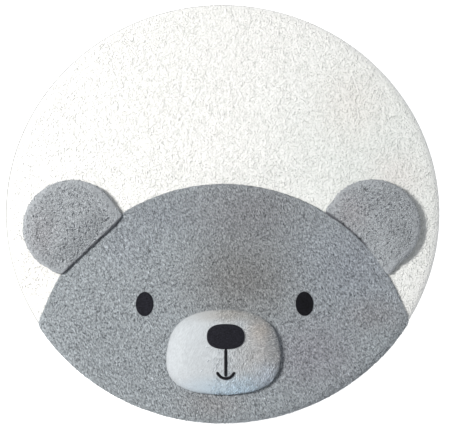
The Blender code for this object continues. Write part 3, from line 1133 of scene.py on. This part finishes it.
WHITE_PILE = Pile(
    ridge_size=0.0080, ridge_height=0.0015, swell_size=0.045, swell_height=0.0014, sink=0.0006,
    curl_spacing=0.0041, seed=3,
    curl_shapes=(
        CurlShape(length=0.0086, thick=0.0022, arch=0.0011, bow=0.0022),
        CurlShape(length=0.0074, thick=0.0023, arch=0.0012, bow=-0.0018),
        CurlShape(length=0.0062, thick=0.0022, arch=0.0013, bow=0.0012),
    ),
)
GREY_PILE = Pile(
    ridge_size=0.0042, ridge_height=0.0013, swell_size=0.060, swell_height=0.0008, sink=0.0005,
    curl_spacing=0.0024, seed=5, flow_deg=114, flow_wander_deg=30, scatter_deg=40,
    curl_shapes=(
        CurlShape(length=0.0052, thick=0.0015, arch=0.0014, bow=0.0009),
        CurlShape(length=0.0045, thick=0.0016, arch=0.0016, bow=-0.0008),
        CurlShape(length=0.0038, thick=0.0015, arch=0.0017, bow=0.0006),
    ),
)
EAR_PILE = Pile(
    ridge_size=0.0066, ridge_height=0.0020, swell_size=0.040, swell_height=0.0008, sink=0.0006,
    curl_spacing=0.0029, seed=8, smallest=0.75, largest=1.15,
    curl_shapes=(
        CurlShape(length=0.0058, thick=0.0021, arch=0.0016, bow=0.0020, is_long=True),
        CurlShape(length=0.0050, thick=0.0022, arch=0.0018, bow=-0.0016, is_long=True),
        CurlShape(length=0.0043, thick=0.0020, arch=0.0019, bow=0.0012, is_long=True),
    ),
)
PLUSH_PILE = Pile(
    ridge_size=0.0070, ridge_height=0.0009, swell_size=0.035, swell_height=0.0007, sink=0.0004,
    curl_spacing=0.0030, seed=11, flow_deg=-114, flow_wander_deg=20, flow_size=0.06, scatter_deg=14,
    curl_shapes=(
        CurlShape(length=0.0088, thick=0.0017, arch=0.0012, bow=0.0006, is_long=True),
        CurlShape(length=0.0076, thick=0.0018, arch=0.0014, bow=-0.0007, is_long=True),
        CurlShape(length=0.0064, thick=0.0016, arch=0.0016, bow=0.0005, is_long=True),
    ),
)


def extrude_rim(mesh: bmesh.types.BMesh) -> list[bmesh.types.BMVert]:
    """Extrudes a mesh's open rim and puts the new faces in order, since the operator leaves them in any.

    Args:
        mesh: The mesh.

    Returns:
        The new points.
    """
    faces = list(mesh.faces)
    rim = [edge for edge in mesh.edges if edge.is_boundary]
    made = bmesh.ops.extrude_edge_only(mesh, edges=rim)["geom"]
    mesh.verts.index_update()
    fresh = [item for item in made if isinstance(item, bmesh.types.BMFace)]
    faces += sorted(fresh, key=lambda face: sorted(vert.index for vert in face.verts))
    ranks = {face: rank for rank, face in enumerate(faces)}
    mesh.faces.sort(key=ranks.get)
    return [item for item in made if isinstance(item, bmesh.types.BMVert)]


@dataclass
class FlatCut:
    """A flat piece of cloth, cut to an outline, with its thickness and a rounded edge.

    Its mesh starts as a square grid that is pressed into the outline. Cells where fine says so, or all of
    them where it isn't given, are cut finer on top, and the underside stays coarse.
    """

    outline: Outline
    cells: tuple[int, int]
    thick: float
    edge_round: float
    cuts: int = 2
    fine: Optional[Callable[[Points, Points], Points]] = None

    def grid(self, level: float, inset: float) -> bmesh.types.BMesh:
        """A grid pressed into the outline.

        Args:
            level: Its height.
            inset: How far it stays inside the edge.

        Returns:
            The mesh of the grid.
        """
        mesh = bmesh.new()
        bmesh.ops.create_grid(mesh, x_segments=self.cells[0], y_segments=self.cells[1], size=1.0)
        square = np.array([vert.co for vert in mesh.verts])
        x = square[:, 0] * np.sqrt(1 - square[:, 1] ** 2 / 2)
        y = square[:, 1] * np.sqrt(1 - square[:, 0] ** 2 / 2)
        angles = np.arctan2(y, x)
        far = np.minimum(np.hypot(x, y), 1.0) * (self.outline.reach(angles) - inset)
        centre = self.outline.centre
        for vert, distance, angle in zip(mesh.verts, far, angles):
            vert.co = (centre[0] + distance * math.cos(angle), centre[1] + distance * math.sin(angle), level)
        return mesh

    def refine(self, mesh: bmesh.types.BMesh) -> None:
        """Cuts a grid's cells finer where they show.

        Args:
            mesh: The grid.
        """
        middles = np.array([face.calc_center_median() for face in mesh.faces])
        wanted = self.fine(middles[:, 0], middles[:, 1]) if self.fine else np.ones(len(middles), bool)
        shown_edges = {edge for face, fine in zip(mesh.faces, wanted) if fine for edge in face.edges}
        edges = [edge for edge in mesh.edges if edge.is_boundary or edge in shown_edges]
        bmesh.ops.subdivide_edges(mesh, edges=edges, cuts=self.cuts, use_grid_fill=True)

    def build(self) -> bmesh.types.BMesh:
        """Builds the flat piece as one closed body, with its underside at z = 0.

        Returns:
            The mesh of the piece.
        """
        under = self.grid(0.0, self.edge_round)
        rim = [edge for edge in under.edges if edge.is_boundary]
        bmesh.ops.subdivide_edges(under, edges=rim, cuts=self.cuts)
        spare = bpy.data.meshes.new("underside")
        under.to_mesh(spare)
        under.free()
        mesh = self.grid(self.thick, self.edge_round)
        self.refine(mesh)
        for vert in extrude_rim(mesh):
            angle = math.atan2(vert.co.y - self.outline.centre[1], vert.co.x - self.outline.centre[0])
            vert.co += Vector((math.cos(angle), math.sin(angle), 0)) * self.edge_round
            vert.co.z = self.thick / 2
        mesh.from_mesh(spare)
        bpy.data.meshes.remove(spare)
        bmesh.ops.bridge_loops(mesh, edges=[edge for edge in mesh.edges if edge.is_boundary])
        bmesh.ops.recalc_face_normals(mesh, faces=mesh.faces)
        return mesh


@dataclass
class SoftPiece:
    """What every piece of the mat has: a name, the node that it stands for, its slot and its finish."""

    name: str
    slot: Slot
    fabric: Fabric

    def dress(
        self, thing: bpy.types.Object, material: bpy.types.Material, node: Optional[str] = None
    ) -> None:
        """Gives an object its material and its body, and hides the node that it stands for.

        Args:
            thing: The object.
            material: Its material.
            node: The node that it stands for, or None if it only adds to another piece.
        """
        thing.data.materials.clear()
        thing.data.materials.append(material)
        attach(thing, BODY)
        if node:
            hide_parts(node)
        LOG.info("%s: %d points, %d faces", thing.name, len(thing.data.vertices), len(thing.data.polygons))


@dataclass
class PaddedMat(SoftPiece):
    """The round padded mat: its fleece cover, the seam at its rim and its flat backing.

    The pile lies flatter at the left side, and ends short of the rim. Painted shade marks the rim's seam:
    most at the upper left, less at the lower left and not at all at the right, where the light leaves it.
    """

    pile: Pile
    cells: int = 118
    under_roll: float = 0.012
    under_steps: int = 4
    seam_depth: float = 0.0012
    hidden_margin: float = 0.020
    backing_margin: float = 0.010
    sleek_side: float = -0.48
    sleek_band: float = 0.34
    sleek_share: float = 0.55
    plain_rim: float = 0.0045
    rim_band: float = 0.012
    overlap: float = 0.004
    # Where the painted shade along the rim's seam fades out to the right and downwards, and how much is left
    # below
    seam_shade_right_end: float = 0.35
    seam_shade_right_band: float = 0.5
    seam_shade_low_end: float = -0.22
    seam_shade_low_band: float = 0.40
    seam_shade_low_share: float = 0.63
    fill: float = 0.4

    def hidden(self, x: Points, y: Points) -> Points:
        """How deep under the head or an ear each place lies, in metres."""
        under_head = HEAD.disc_depth(x, y)
        return np.maximum(under_head, np.maximum(LEFT_EAR.depth(x, y), RIGHT_EAR.rim_depth(x, y)))

    def build(self) -> bpy.types.Object:
        """Builds the cover over the filling, closed below by the backing.

        Returns:
            The cover.
        """
        cloth = RoundedOutline(centre=(0.0, 0.0), half_width=MAT.cloth_radius, half_length=MAT.cloth_radius)
        cut = FlatCut(
            cloth, (self.cells, self.cells), thick=0.0, edge_round=0.0,
            fine=lambda x, y: self.hidden(x, y) < self.hidden_margin,
        )
        mesh = cut.grid(level=0.0, inset=0.0)
        cut.refine(mesh)
        flat = np.array([vert.co for vert in mesh.verts])
        nothing = np.zeros(len(flat))
        for vert, place in zip(mesh.verts, MAT.drape(flat, nothing, nothing)):
            vert.co = place
        for step in range(self.under_steps + 2):
            radius, height = self.under_place(step)
            for vert in extrude_rim(mesh):
                ground = vert.co.to_2d().normalized() * radius
                vert.co = (ground.x, ground.y, height)
        bmesh.ops.holes_fill(mesh, edges=[edge for edge in mesh.edges if edge.is_boundary])
        bmesh.ops.recalc_face_normals(mesh, faces=mesh.faces)
        return from_bmesh(self.name + "_cover", mesh)

    def under_place(self, step: int) -> tuple[float, float]:
        """Where a ring below the seam lies.

        Args:
            step: 0 in the seam's groove, then down the roll, and last a little way in on the backing.

        Returns:
            The ring's radius and height.
        """
        if step == 0:
            return MAT.radius - self.seam_depth, MAT.seam_height - self.seam_depth / 2
        if step > self.under_steps:
            return MAT.radius - self.under_roll - self.backing_margin, 0.0
        angle = math.pi / 2 * step / self.under_steps
        return MAT.radius - self.under_roll * (1 - math.cos(angle)), MAT.seam_height * (1 - math.sin(angle))

    def seam_shade_strength(self, x: Points, y: Points) -> Points:
        """How strongly the painted shade at the rim's seam shows.

        Args:
            x: Where the places are across the mat.
            y: Where they are along it.

        Returns:
            The share for each place.
        """
        upper = smoothstep((y - self.seam_shade_low_end) / self.seam_shade_low_band)
        leftward = smoothstep((self.seam_shade_right_end - x) / self.seam_shade_right_band)
        return leftward * lifted(self.seam_shade_low_share, upper)

    def make(self) -> None:
        """Builds the mat, raises its pile and dresses both."""
        mat = self.build()
        x, y, z = coordinates(mat.data).T
        exposed = exposure(self.hidden(x, y), self.overlap) * (z > MAT.seam_height)
        inside = MAT.radius - np.hypot(x, y)
        upright = lifted(self.sleek_share, smoothstep((x - self.sleek_side) / self.sleek_band))
        note(mat.data, "cover", exposed * smoothstep((inside - self.plain_rim) / self.rim_band) * upright)
        note(mat.data, "curls", (exposed > LEAST_EXPOSED) * (inside > self.plain_rim) * upright)
        # Painted shade along the rim's seam groove
        at_rim = smoothstep((self.plain_rim - inside) / self.plain_rim * 2)
        note(mat.data, "seam", at_rim * self.seam_shade_strength(x, y))
        self.pile.raise_ridges(mat)
        curls = self.pile.grow_curls(mat, self.name + "_pile")
        material = self.fabric.material()
        self.dress(mat, material, self.name)
        self.dress(curls, material)


@dataclass
class HeadPanel(SoftPiece):
    """The head: a sheet of fleece laid on the mat and turned down over its rim.

    Its ridges are lower in a band along its edge, and only what lies higher in it than the top's share bears
    pile.
    """

    pile: Pile
    cells: tuple[int, int] = (112, 74)
    thick: float = 0.005
    thick_at_seam: float = 0.002
    gap: float = 0.0003
    rim_gap: float = 0.0010
    edge_round: float = 0.0022
    hidden_margin: float = 0.012
    overlap: float = 0.003
    edge_band: float = 0.010
    edge_share: float = 0.3
    top_share: float = 0.4

    def hidden(self, x: Points, y: Points) -> Points:
        """How deep under the muzzle, an eye or the left ear each place lies, in metres."""
        above = [MUZZLE, *EYES.values(), LEFT_EAR]
        return np.max([piece.depth(x, y) for piece in above], axis=0)

    def make(self) -> None:
        """Builds the head, raises its pile and dresses both."""
        cut = FlatCut(
            HEAD, self.cells, self.thick, self.edge_round,
            fine=lambda x, y: self.hidden(x, y) < self.hidden_margin,
        )
        mesh = cut.build()
        flat = np.array([vert.co for vert in mesh.verts])
        area = sum(face.calc_area() for face in mesh.faces) / 2
        lift = self.gap + flat[:, 2]
        lift_at_seam = self.rim_gap + flat[:, 2] * self.thick_at_seam / self.thick
        for vert, place in zip(mesh.verts, MAT.drape(flat, lift, lift_at_seam)):
            vert.co = place
        head = from_bmesh(self.name + "_fleece", mesh)
        x, y, _ = coordinates(head.data).T
        on_top = flat[:, 2] > self.thick * self.top_share
        exposed = exposure(self.hidden(x, y), self.overlap)
        from_edge = smoothstep(HEAD.depth(flat[:, 0], flat[:, 1]) / self.edge_band)
        note(head.data, "cover", exposed * lifted(self.edge_share, from_edge) * on_top)
        note(head.data, "curls", (exposed > LEAST_EXPOSED) * on_top)
        self.pile.raise_ridges(head)
        curls = self.pile.grow_curls(head, self.name + "_pile")
        material = self.fabric.material()
        self.dress(head, material, self.name)
        self.dress(curls, material)


@dataclass
class PaddedPiece(SoftPiece):
    """A filled pad. It starts a little smaller than its solid and is inflated as cloth, sewn down below.

    The facings are how far up a place's normal points at the least where the pad is made smaller, where it
    isn't sewn down and where it bears pile.
    """

    pile: Pile
    outline: Outline | EarForm
    shrink: float = 0.0015
    voxel: float = 0.005
    pressure: float = 4.0
    frames: int = 20
    most_movement: float = 0.006
    side_facing: float = -0.3
    free_facing: float = -0.5
    pile_facing: float = -0.35
    pile_band: float = 0.3
    fill: float = 0.8

    def body(self) -> bpy.types.Object:
        """Makes the pad before it is inflated: its solid, merged, a little smaller and evenly meshed.

        Returns:
            The pad.
        """
        mesh = bmesh.new()
        mesh.from_mesh(frame["nodes"][self.name].data)
        bmesh.ops.remove_doubles(mesh, verts=mesh.verts, dist=SAME_PLACE)
        bmesh.ops.recalc_face_normals(mesh, faces=mesh.faces)
        for vert, normal in [(vert, vert.normal.copy()) for vert in mesh.verts]:
            if normal.z > self.side_facing:
                vert.co -= normal * self.shrink
        thing = from_bmesh(self.name + "_pad", mesh)
        remesh = thing.modifiers.new("even mesh", "REMESH")
        remesh.mode = "VOXEL"
        remesh.voxel_size = self.voxel
        settle(thing)
        return thing

    def inflate(self, thing: bpy.types.Object) -> None:
        """Fills the pad with air as cloth, and caps how far each point may move.

        Args:
            thing: The pad.
        """
        start = coordinates(thing.data)
        sewn = thing.vertex_groups.new(name="sewn")
        below = np.flatnonzero(normals(thing.data)[:, 2] < self.free_facing)
        sewn.add(below.tolist(), 1.0, "REPLACE")
        cloth = thing.modifiers.new("filling", "CLOTH")
        cloth.settings.use_pressure = True
        cloth.settings.uniform_pressure_force = self.pressure
        cloth.settings.effector_weights.gravity = 0.0
        cloth.settings.vertex_group_mass = sewn.name
        cloth.point_cache.frame_end = self.frames
        scene = bpy.context.scene
        for number in range(1, self.frames + 1):
            scene.frame_set(number)
        swollen = coordinates(thing.evaluated_get(bpy.context.evaluated_depsgraph_get()).data)
        moved = swollen - start
        length = np.maximum(np.linalg.norm(moved, axis=1), TINY)
        share = np.minimum(1.0, self.most_movement / length)
        thing.modifiers.remove(cloth)
        scene.frame_set(1)
        set_coordinates(thing.data, start + moved * share[:, None])
        LOG.info("%s: moved %.1f mm at most", self.name, 1000 * length.max())

    def build(self) -> bpy.types.Object:
        """Builds the inflated pad with a smooth, fine mesh.

        Returns:
            The pad.
        """
        thing = self.body()
        self.inflate(thing)
        smooth = thing.modifiers.new("soft", "SUBSURF")
        smooth.levels = smooth.render_levels = 1
        settle(thing)
        thing.name = self.name + "_soft"
        return thing

    def coverage(self, thing: bpy.types.Object) -> tuple[Points, Points]:
        """How high the pile's ridges stand and how densely its curls grow at each point.

        Args:
            thing: The pad.

        Returns:
            The shares of their full height and density.
        """
        facing = normals(thing.data)[:, 2]
        open_side = smoothstep((facing - self.pile_facing) / self.pile_band)
        return open_side, open_side

    def make(self) -> bpy.types.Object:
        """Builds the pad, raises its pile and dresses both.

        Returns:
            The pad.
        """
        pad = self.build()
        ridges, curls = self.coverage(pad)
        note(pad.data, "cover", ridges)
        note(pad.data, "curls", curls)
        self.pile.raise_ridges(pad)
        tufts = self.pile.grow_curls(pad, self.name + "_pile")
        material = self.fabric.material()
        self.dress(pad, material, self.name)
        self.dress(tufts, material)
        return pad


@dataclass
class FilledEar(PaddedPiece):
    """A filled ear, smoother towards its round rim and curlier towards its base.

    Its filling is soft, so above the plateau's height it rises by a share only, and its base slopes down and
    out to the seam. The rim's ridges and curls are the shares of them that are left at the round rim.
    """

    shrink: float = -0.0016
    nudge: Place = (0.0, 0.0)
    rim_band: float = 0.032
    rim_ridges: float = 0.20
    rim_curls: float = 0.30
    plateau: float = 0.040
    plateau_share: float = 0.35
    base_stretch: float = 0.0030
    base_band: float = 0.020
    slope_band: float = 0.062
    slope_share: float = 0.50
    # Painted shade along the seam: its width, its fade along the base, and the strength above which no curls
    # grow
    seam_shade_width: float = 0.0055
    seam_shade_fade: float = 0.030
    seam_shade_bare: float = 0.3
    corner_reach: float = 0.034
    corner_start: float = 0.050
    corner_band: float = 0.040

    def build(self) -> bpy.types.Object:
        """Builds the inflated ear.

        Returns:
            The ear.
        """
        ear = super().build()
        places = coordinates(ear.data)
        over = np.maximum(places[:, 2] - self.plateau, 0.0)
        places[:, 2] -= over * (1 - self.plateau_share)
        from_base = self.outline.seam_depth(places[:, 0], places[:, 1])
        sloping = 1 - smoothstep(from_base / self.slope_band)
        places[:, 2] -= sloping * self.slope_share * np.maximum(places[:, 2] - MAT.thick, 0.0)
        set_coordinates(ear.data, places + self.pull(places, from_base))
        return ear

    def pull(self, places: Points, from_base: Points) -> Points:
        """How far the sewing pulls each place: towards the base, and out at the base's ends.

        Args:
            places: The places.
            from_base: How far each of them lies from the seam at the base.

        Returns:
            The way that each place is moved.
        """
        along = self.outline.along_base(places[:, 0], places[:, 1])
        near_base = 1 - smoothstep(from_base / self.corner_reach)
        corner = smoothstep((np.abs(along) - self.corner_start) / self.corner_band) * near_base
        at_base = 1 - smoothstep(from_base / self.base_band)
        inward = self.base_stretch * at_base + self.outline.corner_tuck * corner
        clockwise, anticlockwise = self.outline.corner_stretch
        sideways = corner * np.where(along > 0, anticlockwise, -clockwise)
        heading = math.radians(self.outline.base_deg)
        right = self.nudge[0] + inward * math.cos(heading) - sideways * math.sin(heading)
        up = self.nudge[1] + inward * math.sin(heading) + sideways * math.cos(heading)
        return np.stack([right, up, np.zeros_like(up)], axis=1)

    def coverage(self, thing: bpy.types.Object) -> tuple[Points, Points]:
        """How high the pile's ridges stand and how densely its curls grow at each point.

        Args:
            thing: The ear.

        Returns:
            The shares of their full height and density.
        """
        x, y, _ = coordinates(thing.data).T
        ridges, curls = super().coverage(thing)
        inner = smoothstep(self.outline.rim_depth(x, y) / self.rim_band)
        # Painted shade along the seam that joins the ear to the head
        from_seam = self.outline.seam_depth(x, y) + self.base_stretch * (not self.outline.meets_head_edge)
        shown_share = smoothstep((self.outline.seam_shade_end - self.outline.along_base(x, y)) / self.seam_shade_fade)
        seam = (1 - smoothstep(from_seam / self.seam_shade_width)) * shown_share
        note(thing.data, "seam", seam)
        ridges = ridges * lifted(self.rim_ridges, inner)
        return ridges, curls * lifted(self.rim_curls, inner) * (seam < self.seam_shade_bare)


@dataclass
class Muzzle(PaddedPiece):
    """The filled muzzle, fuller at the chin and the left jowl, with flat pile under the nose and the mouth.

    Its left side is sleek: the ridges are low there, and no curls grow. Above the level where it is sewn on,
    its edge keeps a share of the solid's height.
    """

    chin_stretch: float = 0.035
    jowl: Place = (-0.0042, -0.0030)
    jowl_rise: float = 0.050
    nose_overlap: float = 0.001
    nose_margin: float = 0.002
    mouth_margin: float = 0.0020
    bare_share: float = 0.5
    sewn_level: float = 0.023
    crown_band: float = 0.040
    edge_share: float = 0.76
    sleek_side: float = -0.050
    sleek_band: float = 0.095
    sleek_share: float = 0.16

    def build(self) -> bpy.types.Object:
        """Builds the inflated muzzle, with sides that slope.

        Returns:
            The muzzle.
        """
        muzzle = super().build()
        places = coordinates(muzzle.data)
        crown = smoothstep(self.outline.depth(places[:, 0], places[:, 1]) / self.crown_band)
        lost = 1 - lifted(self.edge_share, crown)
        places[:, 2] -= lost * np.maximum(places[:, 2] - self.sewn_level, 0.0)
        right, up = (places[:, :2] - self.outline.centre).T
        leftward = smoothstep(-right / self.outline.half_width)
        low_down = smoothstep((self.jowl_rise - up) / (2 * self.jowl_rise))
        places[:, :2] += (leftward * low_down)[:, None] * self.jowl
        places[:, 1] += self.chin_stretch * np.minimum(up, 0.0)
        set_coordinates(muzzle.data, places)
        return muzzle

    def coverage(self, thing: bpy.types.Object) -> tuple[Points, Points]:
        """How high the pile's ridges stand and how densely its curls grow at each point.

        Args:
            thing: The muzzle.

        Returns:
            The shares of their full height and density.
        """
        x, y, _ = coordinates(thing.data).T
        ridges, curls = super().coverage(thing)
        nose_band = self.nose_overlap + self.nose_margin
        off_nose = smoothstep((self.nose_overlap - NOSE.depth(x, y)) / nose_band)
        off_mouth = smoothstep((MOUTH.away(x, y) - MOUTH.width / 2) / self.mouth_margin)
        free = off_nose * off_mouth
        ruffled = smoothstep((x - self.sleek_side) / self.sleek_band)
        ridges = ridges * free * lifted(self.sleek_share, ruffled)
        return ridges, curls * (free > self.bare_share) * ruffled


class Ground:
    """A surface that thin pieces are laid on, found from a height above everything.

    Args:
        thing: The object that they lie on.
    """

    START_HEIGHT = 1.0

    def __init__(self, thing: bpy.types.Object) -> None:
        mesh = bmesh.new()
        mesh.from_mesh(thing.data)
        self.tree = BVHTree.FromBMesh(mesh)
        mesh.free()

    def height(self, x: float, y: float) -> float:
        """The height of the surface at a place."""
        hit, *_ = self.tree.ray_cast(Vector((x, y, self.START_HEIGHT)), Vector((0, 0, -1)))
        return hit.z


@dataclass
class FeltPatch(SoftPiece):
    """A patch of felt laid on a surface."""

    outline: RoundedOutline
    rests_on: str
    cells: tuple[int, int]
    thick: float
    gap: float = 0.0003
    edge_round: float = 0.0010

    def make(self, ground: Ground) -> None:
        """Cuts the patch and lays it down.

        Args:
            ground: What it lies on.
        """
        mesh = FlatCut(self.outline, self.cells, self.thick, self.edge_round, cuts=1).build()
        area = sum(face.calc_area() for face in mesh.faces) / 2
        for vert in mesh.verts:
            vert.co.z += self.gap + ground.height(vert.co.x, vert.co.y)
        patch = from_bmesh(self.name + "_felt", mesh)
        note(patch.data, "pile", np.ones(len(patch.data.vertices)))
        note(patch.data, "cover", np.ones(len(patch.data.vertices)))
        self.dress(patch, self.fabric.material(), self.name)


@dataclass
class StitchedMouth(SoftPiece):
    """The mouth in satin stitches that lie side by side across its line and its smile.

    A stitch is a thread whose thickness is a share of the pitch, plumper upwards. Towards its ends it narrows
    and bends down into the cloth, and it is shorter towards the ends of a line.
    """

    form: MouthForm
    thick: float = 0.0034
    bury: float = 0.0010
    pitch: float = 0.0009
    sides: int = 6
    bends: int = 4
    thread_share: float = 0.62
    length_share: float = 0.94
    narrowing: float = 0.8
    plumpness: float = 1.4
    bending: float = 0.85
    end_share: float = 0.62

    def stitch(self) -> bpy.types.Mesh:
        """Builds one stitch, along X.

        Returns:
            Its mesh.
        """
        mesh = bmesh.new()
        half = self.pitch * self.thread_share
        length = self.form.width * self.length_share
        bmesh.ops.create_cone(
            mesh, cap_ends=True, segments=self.sides, radius1=half, radius2=half, depth=length
        )
        lengthwise = [edge for edge in mesh.edges if abs(edge.verts[0].co.z - edge.verts[1].co.z) > half]
        bmesh.ops.subdivide_edges(mesh, edges=lengthwise, cuts=self.bends)
        bmesh.ops.rotate(mesh, verts=mesh.verts, matrix=Matrix.Rotation(math.pi / 2, 3, "Y"))
        for vert in mesh.verts:
            share = min(1.0, abs(2 * vert.co.x / self.form.width))
            narrow = math.sqrt(1 - self.narrowing * share**2)
            arch = self.thick * math.sqrt(1 - self.bending * share**2)
            vert.co.y *= narrow
            vert.co.z = vert.co.z * narrow * self.plumpness + arch - self.bury
        bmesh.ops.recalc_face_normals(mesh, faces=mesh.faces)
        return finished("stitch", mesh)

    def routes(self) -> tuple[list[Vector], list[Vector]]:
        """Finds where the stitches of the line below the nose and of the smile go.

        Returns:
            The two routes, as points one stitch apart.
        """
        middle = Vector(self.form.smile_middle)
        top = Vector((middle.x, self.form.top))
        bottom = Vector((middle.x, self.form.bottom))
        count = round((top - bottom).length / self.pitch)
        line = [top.lerp(bottom, i / count) for i in range(count + 1)]
        radius = self.form.smile_radius
        sweep = math.radians(2 * self.form.smile_half_deg)
        count = round(sweep * radius / self.pitch)
        turns = [math.radians(270) + sweep * (i / count - 0.5) for i in range(count + 1)]
        smile = [middle + Vector((math.cos(turn), math.sin(turn))) * radius for turn in turns]
        return line, smile

    def make(self, ground: Ground) -> None:
        """Sews the mouth onto the muzzle.

        Args:
            ground: The muzzle's surface.
        """
        stitch = self.stitch()
        mesh = bmesh.new()
        for route in self.routes():
            for i, place in enumerate(route):
                following, before = route[min(i + 1, len(route) - 1)], route[max(i - 1, 0)]
                heading = following - before
                turn = math.atan2(heading.y, heading.x) + math.pi / 2
                near_end = min(i, len(route) - 1 - i) * self.pitch / (self.form.width / 2)
                length = lifted(self.end_share, math.sqrt(min(1.0, near_end)))
                down = Matrix.Translation((place.x, place.y, ground.height(place.x, place.y)))
                across = Matrix.Rotation(turn, 4, "Z") @ Matrix.Diagonal((length, 1, 1, 1))
                first = len(mesh.verts)
                mesh.from_mesh(stitch)
                mesh.verts.ensure_lookup_table()
                bmesh.ops.transform(mesh, matrix=down @ across, verts=mesh.verts[first:])
        bpy.data.meshes.remove(stitch)
        mouth = from_bmesh(self.name + "_stitches", mesh)
        note(mouth.data, "pile", np.ones(len(mouth.data.vertices)))
        note(mouth.data, "cover", np.ones(len(mouth.data.vertices)))
        self.dress(mouth, self.fabric.material(), self.name)


@dataclass(frozen=True)
class Studio:
    """A plain pale floor, soft light from the left and the camera, which looks down from the chin's side."""

    target: tuple[float, float, float] = (0.0044, -0.0274, 0.0070)
    tilt_deg: float = 15.613
    distance: float = 3.2
    lens: float = 111.46
    sensor: float = 36.0
    lamp_place: tuple[float, float, float] = (-2.35, 0.10, 3.00)
    lamp_size: float = 0.8
    lamp_watts: float = 150.0
    lamp_colour: Colour = (1.0, 0.985, 0.96)
    floor_size: float = 12.0
    floor_colour: Colour = (0.9, 0.9, 0.9)
    floor_roughness: float = 0.9
    floor_glow: float = 0.80
    sky: Colour = (0.93, 0.96, 1.0)
    sky_strength: float = 0.42

    def place_camera(self) -> None:
        """Sets up the camera."""
        data = bpy.data.cameras.new("camera")
        data.lens = self.lens
        data.sensor_width = self.sensor
        camera = bpy.data.objects.new("camera", data)
        tilt = math.radians(self.tilt_deg)
        back = Vector((0, -math.sin(tilt), math.cos(tilt)))
        camera.location = Vector(self.target) + back * self.distance
        camera.rotation_euler = (tilt, 0, 0)
        bpy.context.scene.collection.objects.link(camera)
        bpy.context.scene.camera = camera

    def place_lamp(self) -> None:
        """Adds a soft square light that is aimed at the mat."""
        data = bpy.data.lights.new("key", "AREA")
        data.size = self.lamp_size
        data.energy = self.lamp_watts
        data.color = self.lamp_colour
        lamp = bpy.data.objects.new("key", data)
        lamp.location = self.lamp_place
        lamp.rotation_euler = (-Vector(self.lamp_place)).to_track_quat("-Z", "Y").to_euler()
        bpy.context.scene.collection.objects.link(lamp)

    def lay_floor(self) -> None:
        """Lays the floor."""
        mesh = bmesh.new()
        bmesh.ops.create_grid(mesh, x_segments=1, y_segments=1, size=self.floor_size / 2)
        floor = from_bmesh("floor", mesh)
        paper = bpy.data.materials.new("floor paper")
        paper.use_nodes = True
        shader = paper.node_tree.nodes["Principled BSDF"]
        shader.inputs["Base Color"].default_value = opaque(self.floor_colour)
        shader.inputs["Roughness"].default_value = self.floor_roughness
        shader.inputs["Emission Color"].default_value = opaque((1, 1, 1))
        shader.inputs["Emission Strength"].default_value = self.floor_glow
        floor.data.materials.append(paper)

    def make(self) -> None:
        """Sets up everything around the mat."""
        scene = bpy.context.scene
        scene.view_settings.view_transform = "Standard"
        world = bpy.data.worlds.new("pale room")
        scene.world = world
        world.use_nodes = True
        sky = world.node_tree.nodes["Background"]
        sky.inputs["Color"].default_value = opaque(self.sky)
        sky.inputs["Strength"].default_value = self.sky_strength
        self.place_lamp()
        self.lay_floor()
        self.place_camera()


def main() -> None:
    """Builds the mat's pieces in order, and sets up the studio."""
    logging.basicConfig(level=logging.INFO, format="%(message)s")
    PaddedMat("mat", Slot.WHITE_FLEECE, WHITE_FLEECE, WHITE_PILE).make()
    HeadPanel("head", Slot.GREY_FLEECE, GREY_FLEECE, GREY_PILE).make()
    FilledEar(
        "ear_left", Slot.GREY_FLEECE, EAR_FLEECE, EAR_PILE, LEFT_EAR, shrink=-0.0046, nudge=(0.0014, 0.0008),
        base_stretch=0.0022, seam_shade_width=0.0036,
    ).make()
    FilledEar("ear_right", Slot.GREY_FLEECE, EAR_FLEECE, EAR_PILE, RIGHT_EAR, nudge=(0.0, 0.0012)).make()
    muzzle = Muzzle("muzzle", Slot.CREAM_PLUSH, CREAM_PLUSH, PLUSH_PILE, MUZZLE).make()
    on_muzzle = Ground(muzzle)
    FeltPatch(
        "nose", Slot.BLACK_FELT, BLACK_FELT, NOSE, rests_on="muzzle", cells=(36, 24), thick=0.0035
    ).make(on_muzzle)
    StitchedMouth("mouth", Slot.BLACK_THREAD, BLACK_THREAD, MOUTH).make(on_muzzle)
    on_head = Ground(frame["nodes"]["head"])
    for name, outline in EYES.items():
        FeltPatch(
            name, Slot.BLACK_FELT, BLACK_FELT, outline, rests_on="head", cells=(18, 26), thick=0.0025
        ).make(on_head)
    Studio().make()


if __name__ == "__main__":
    main()
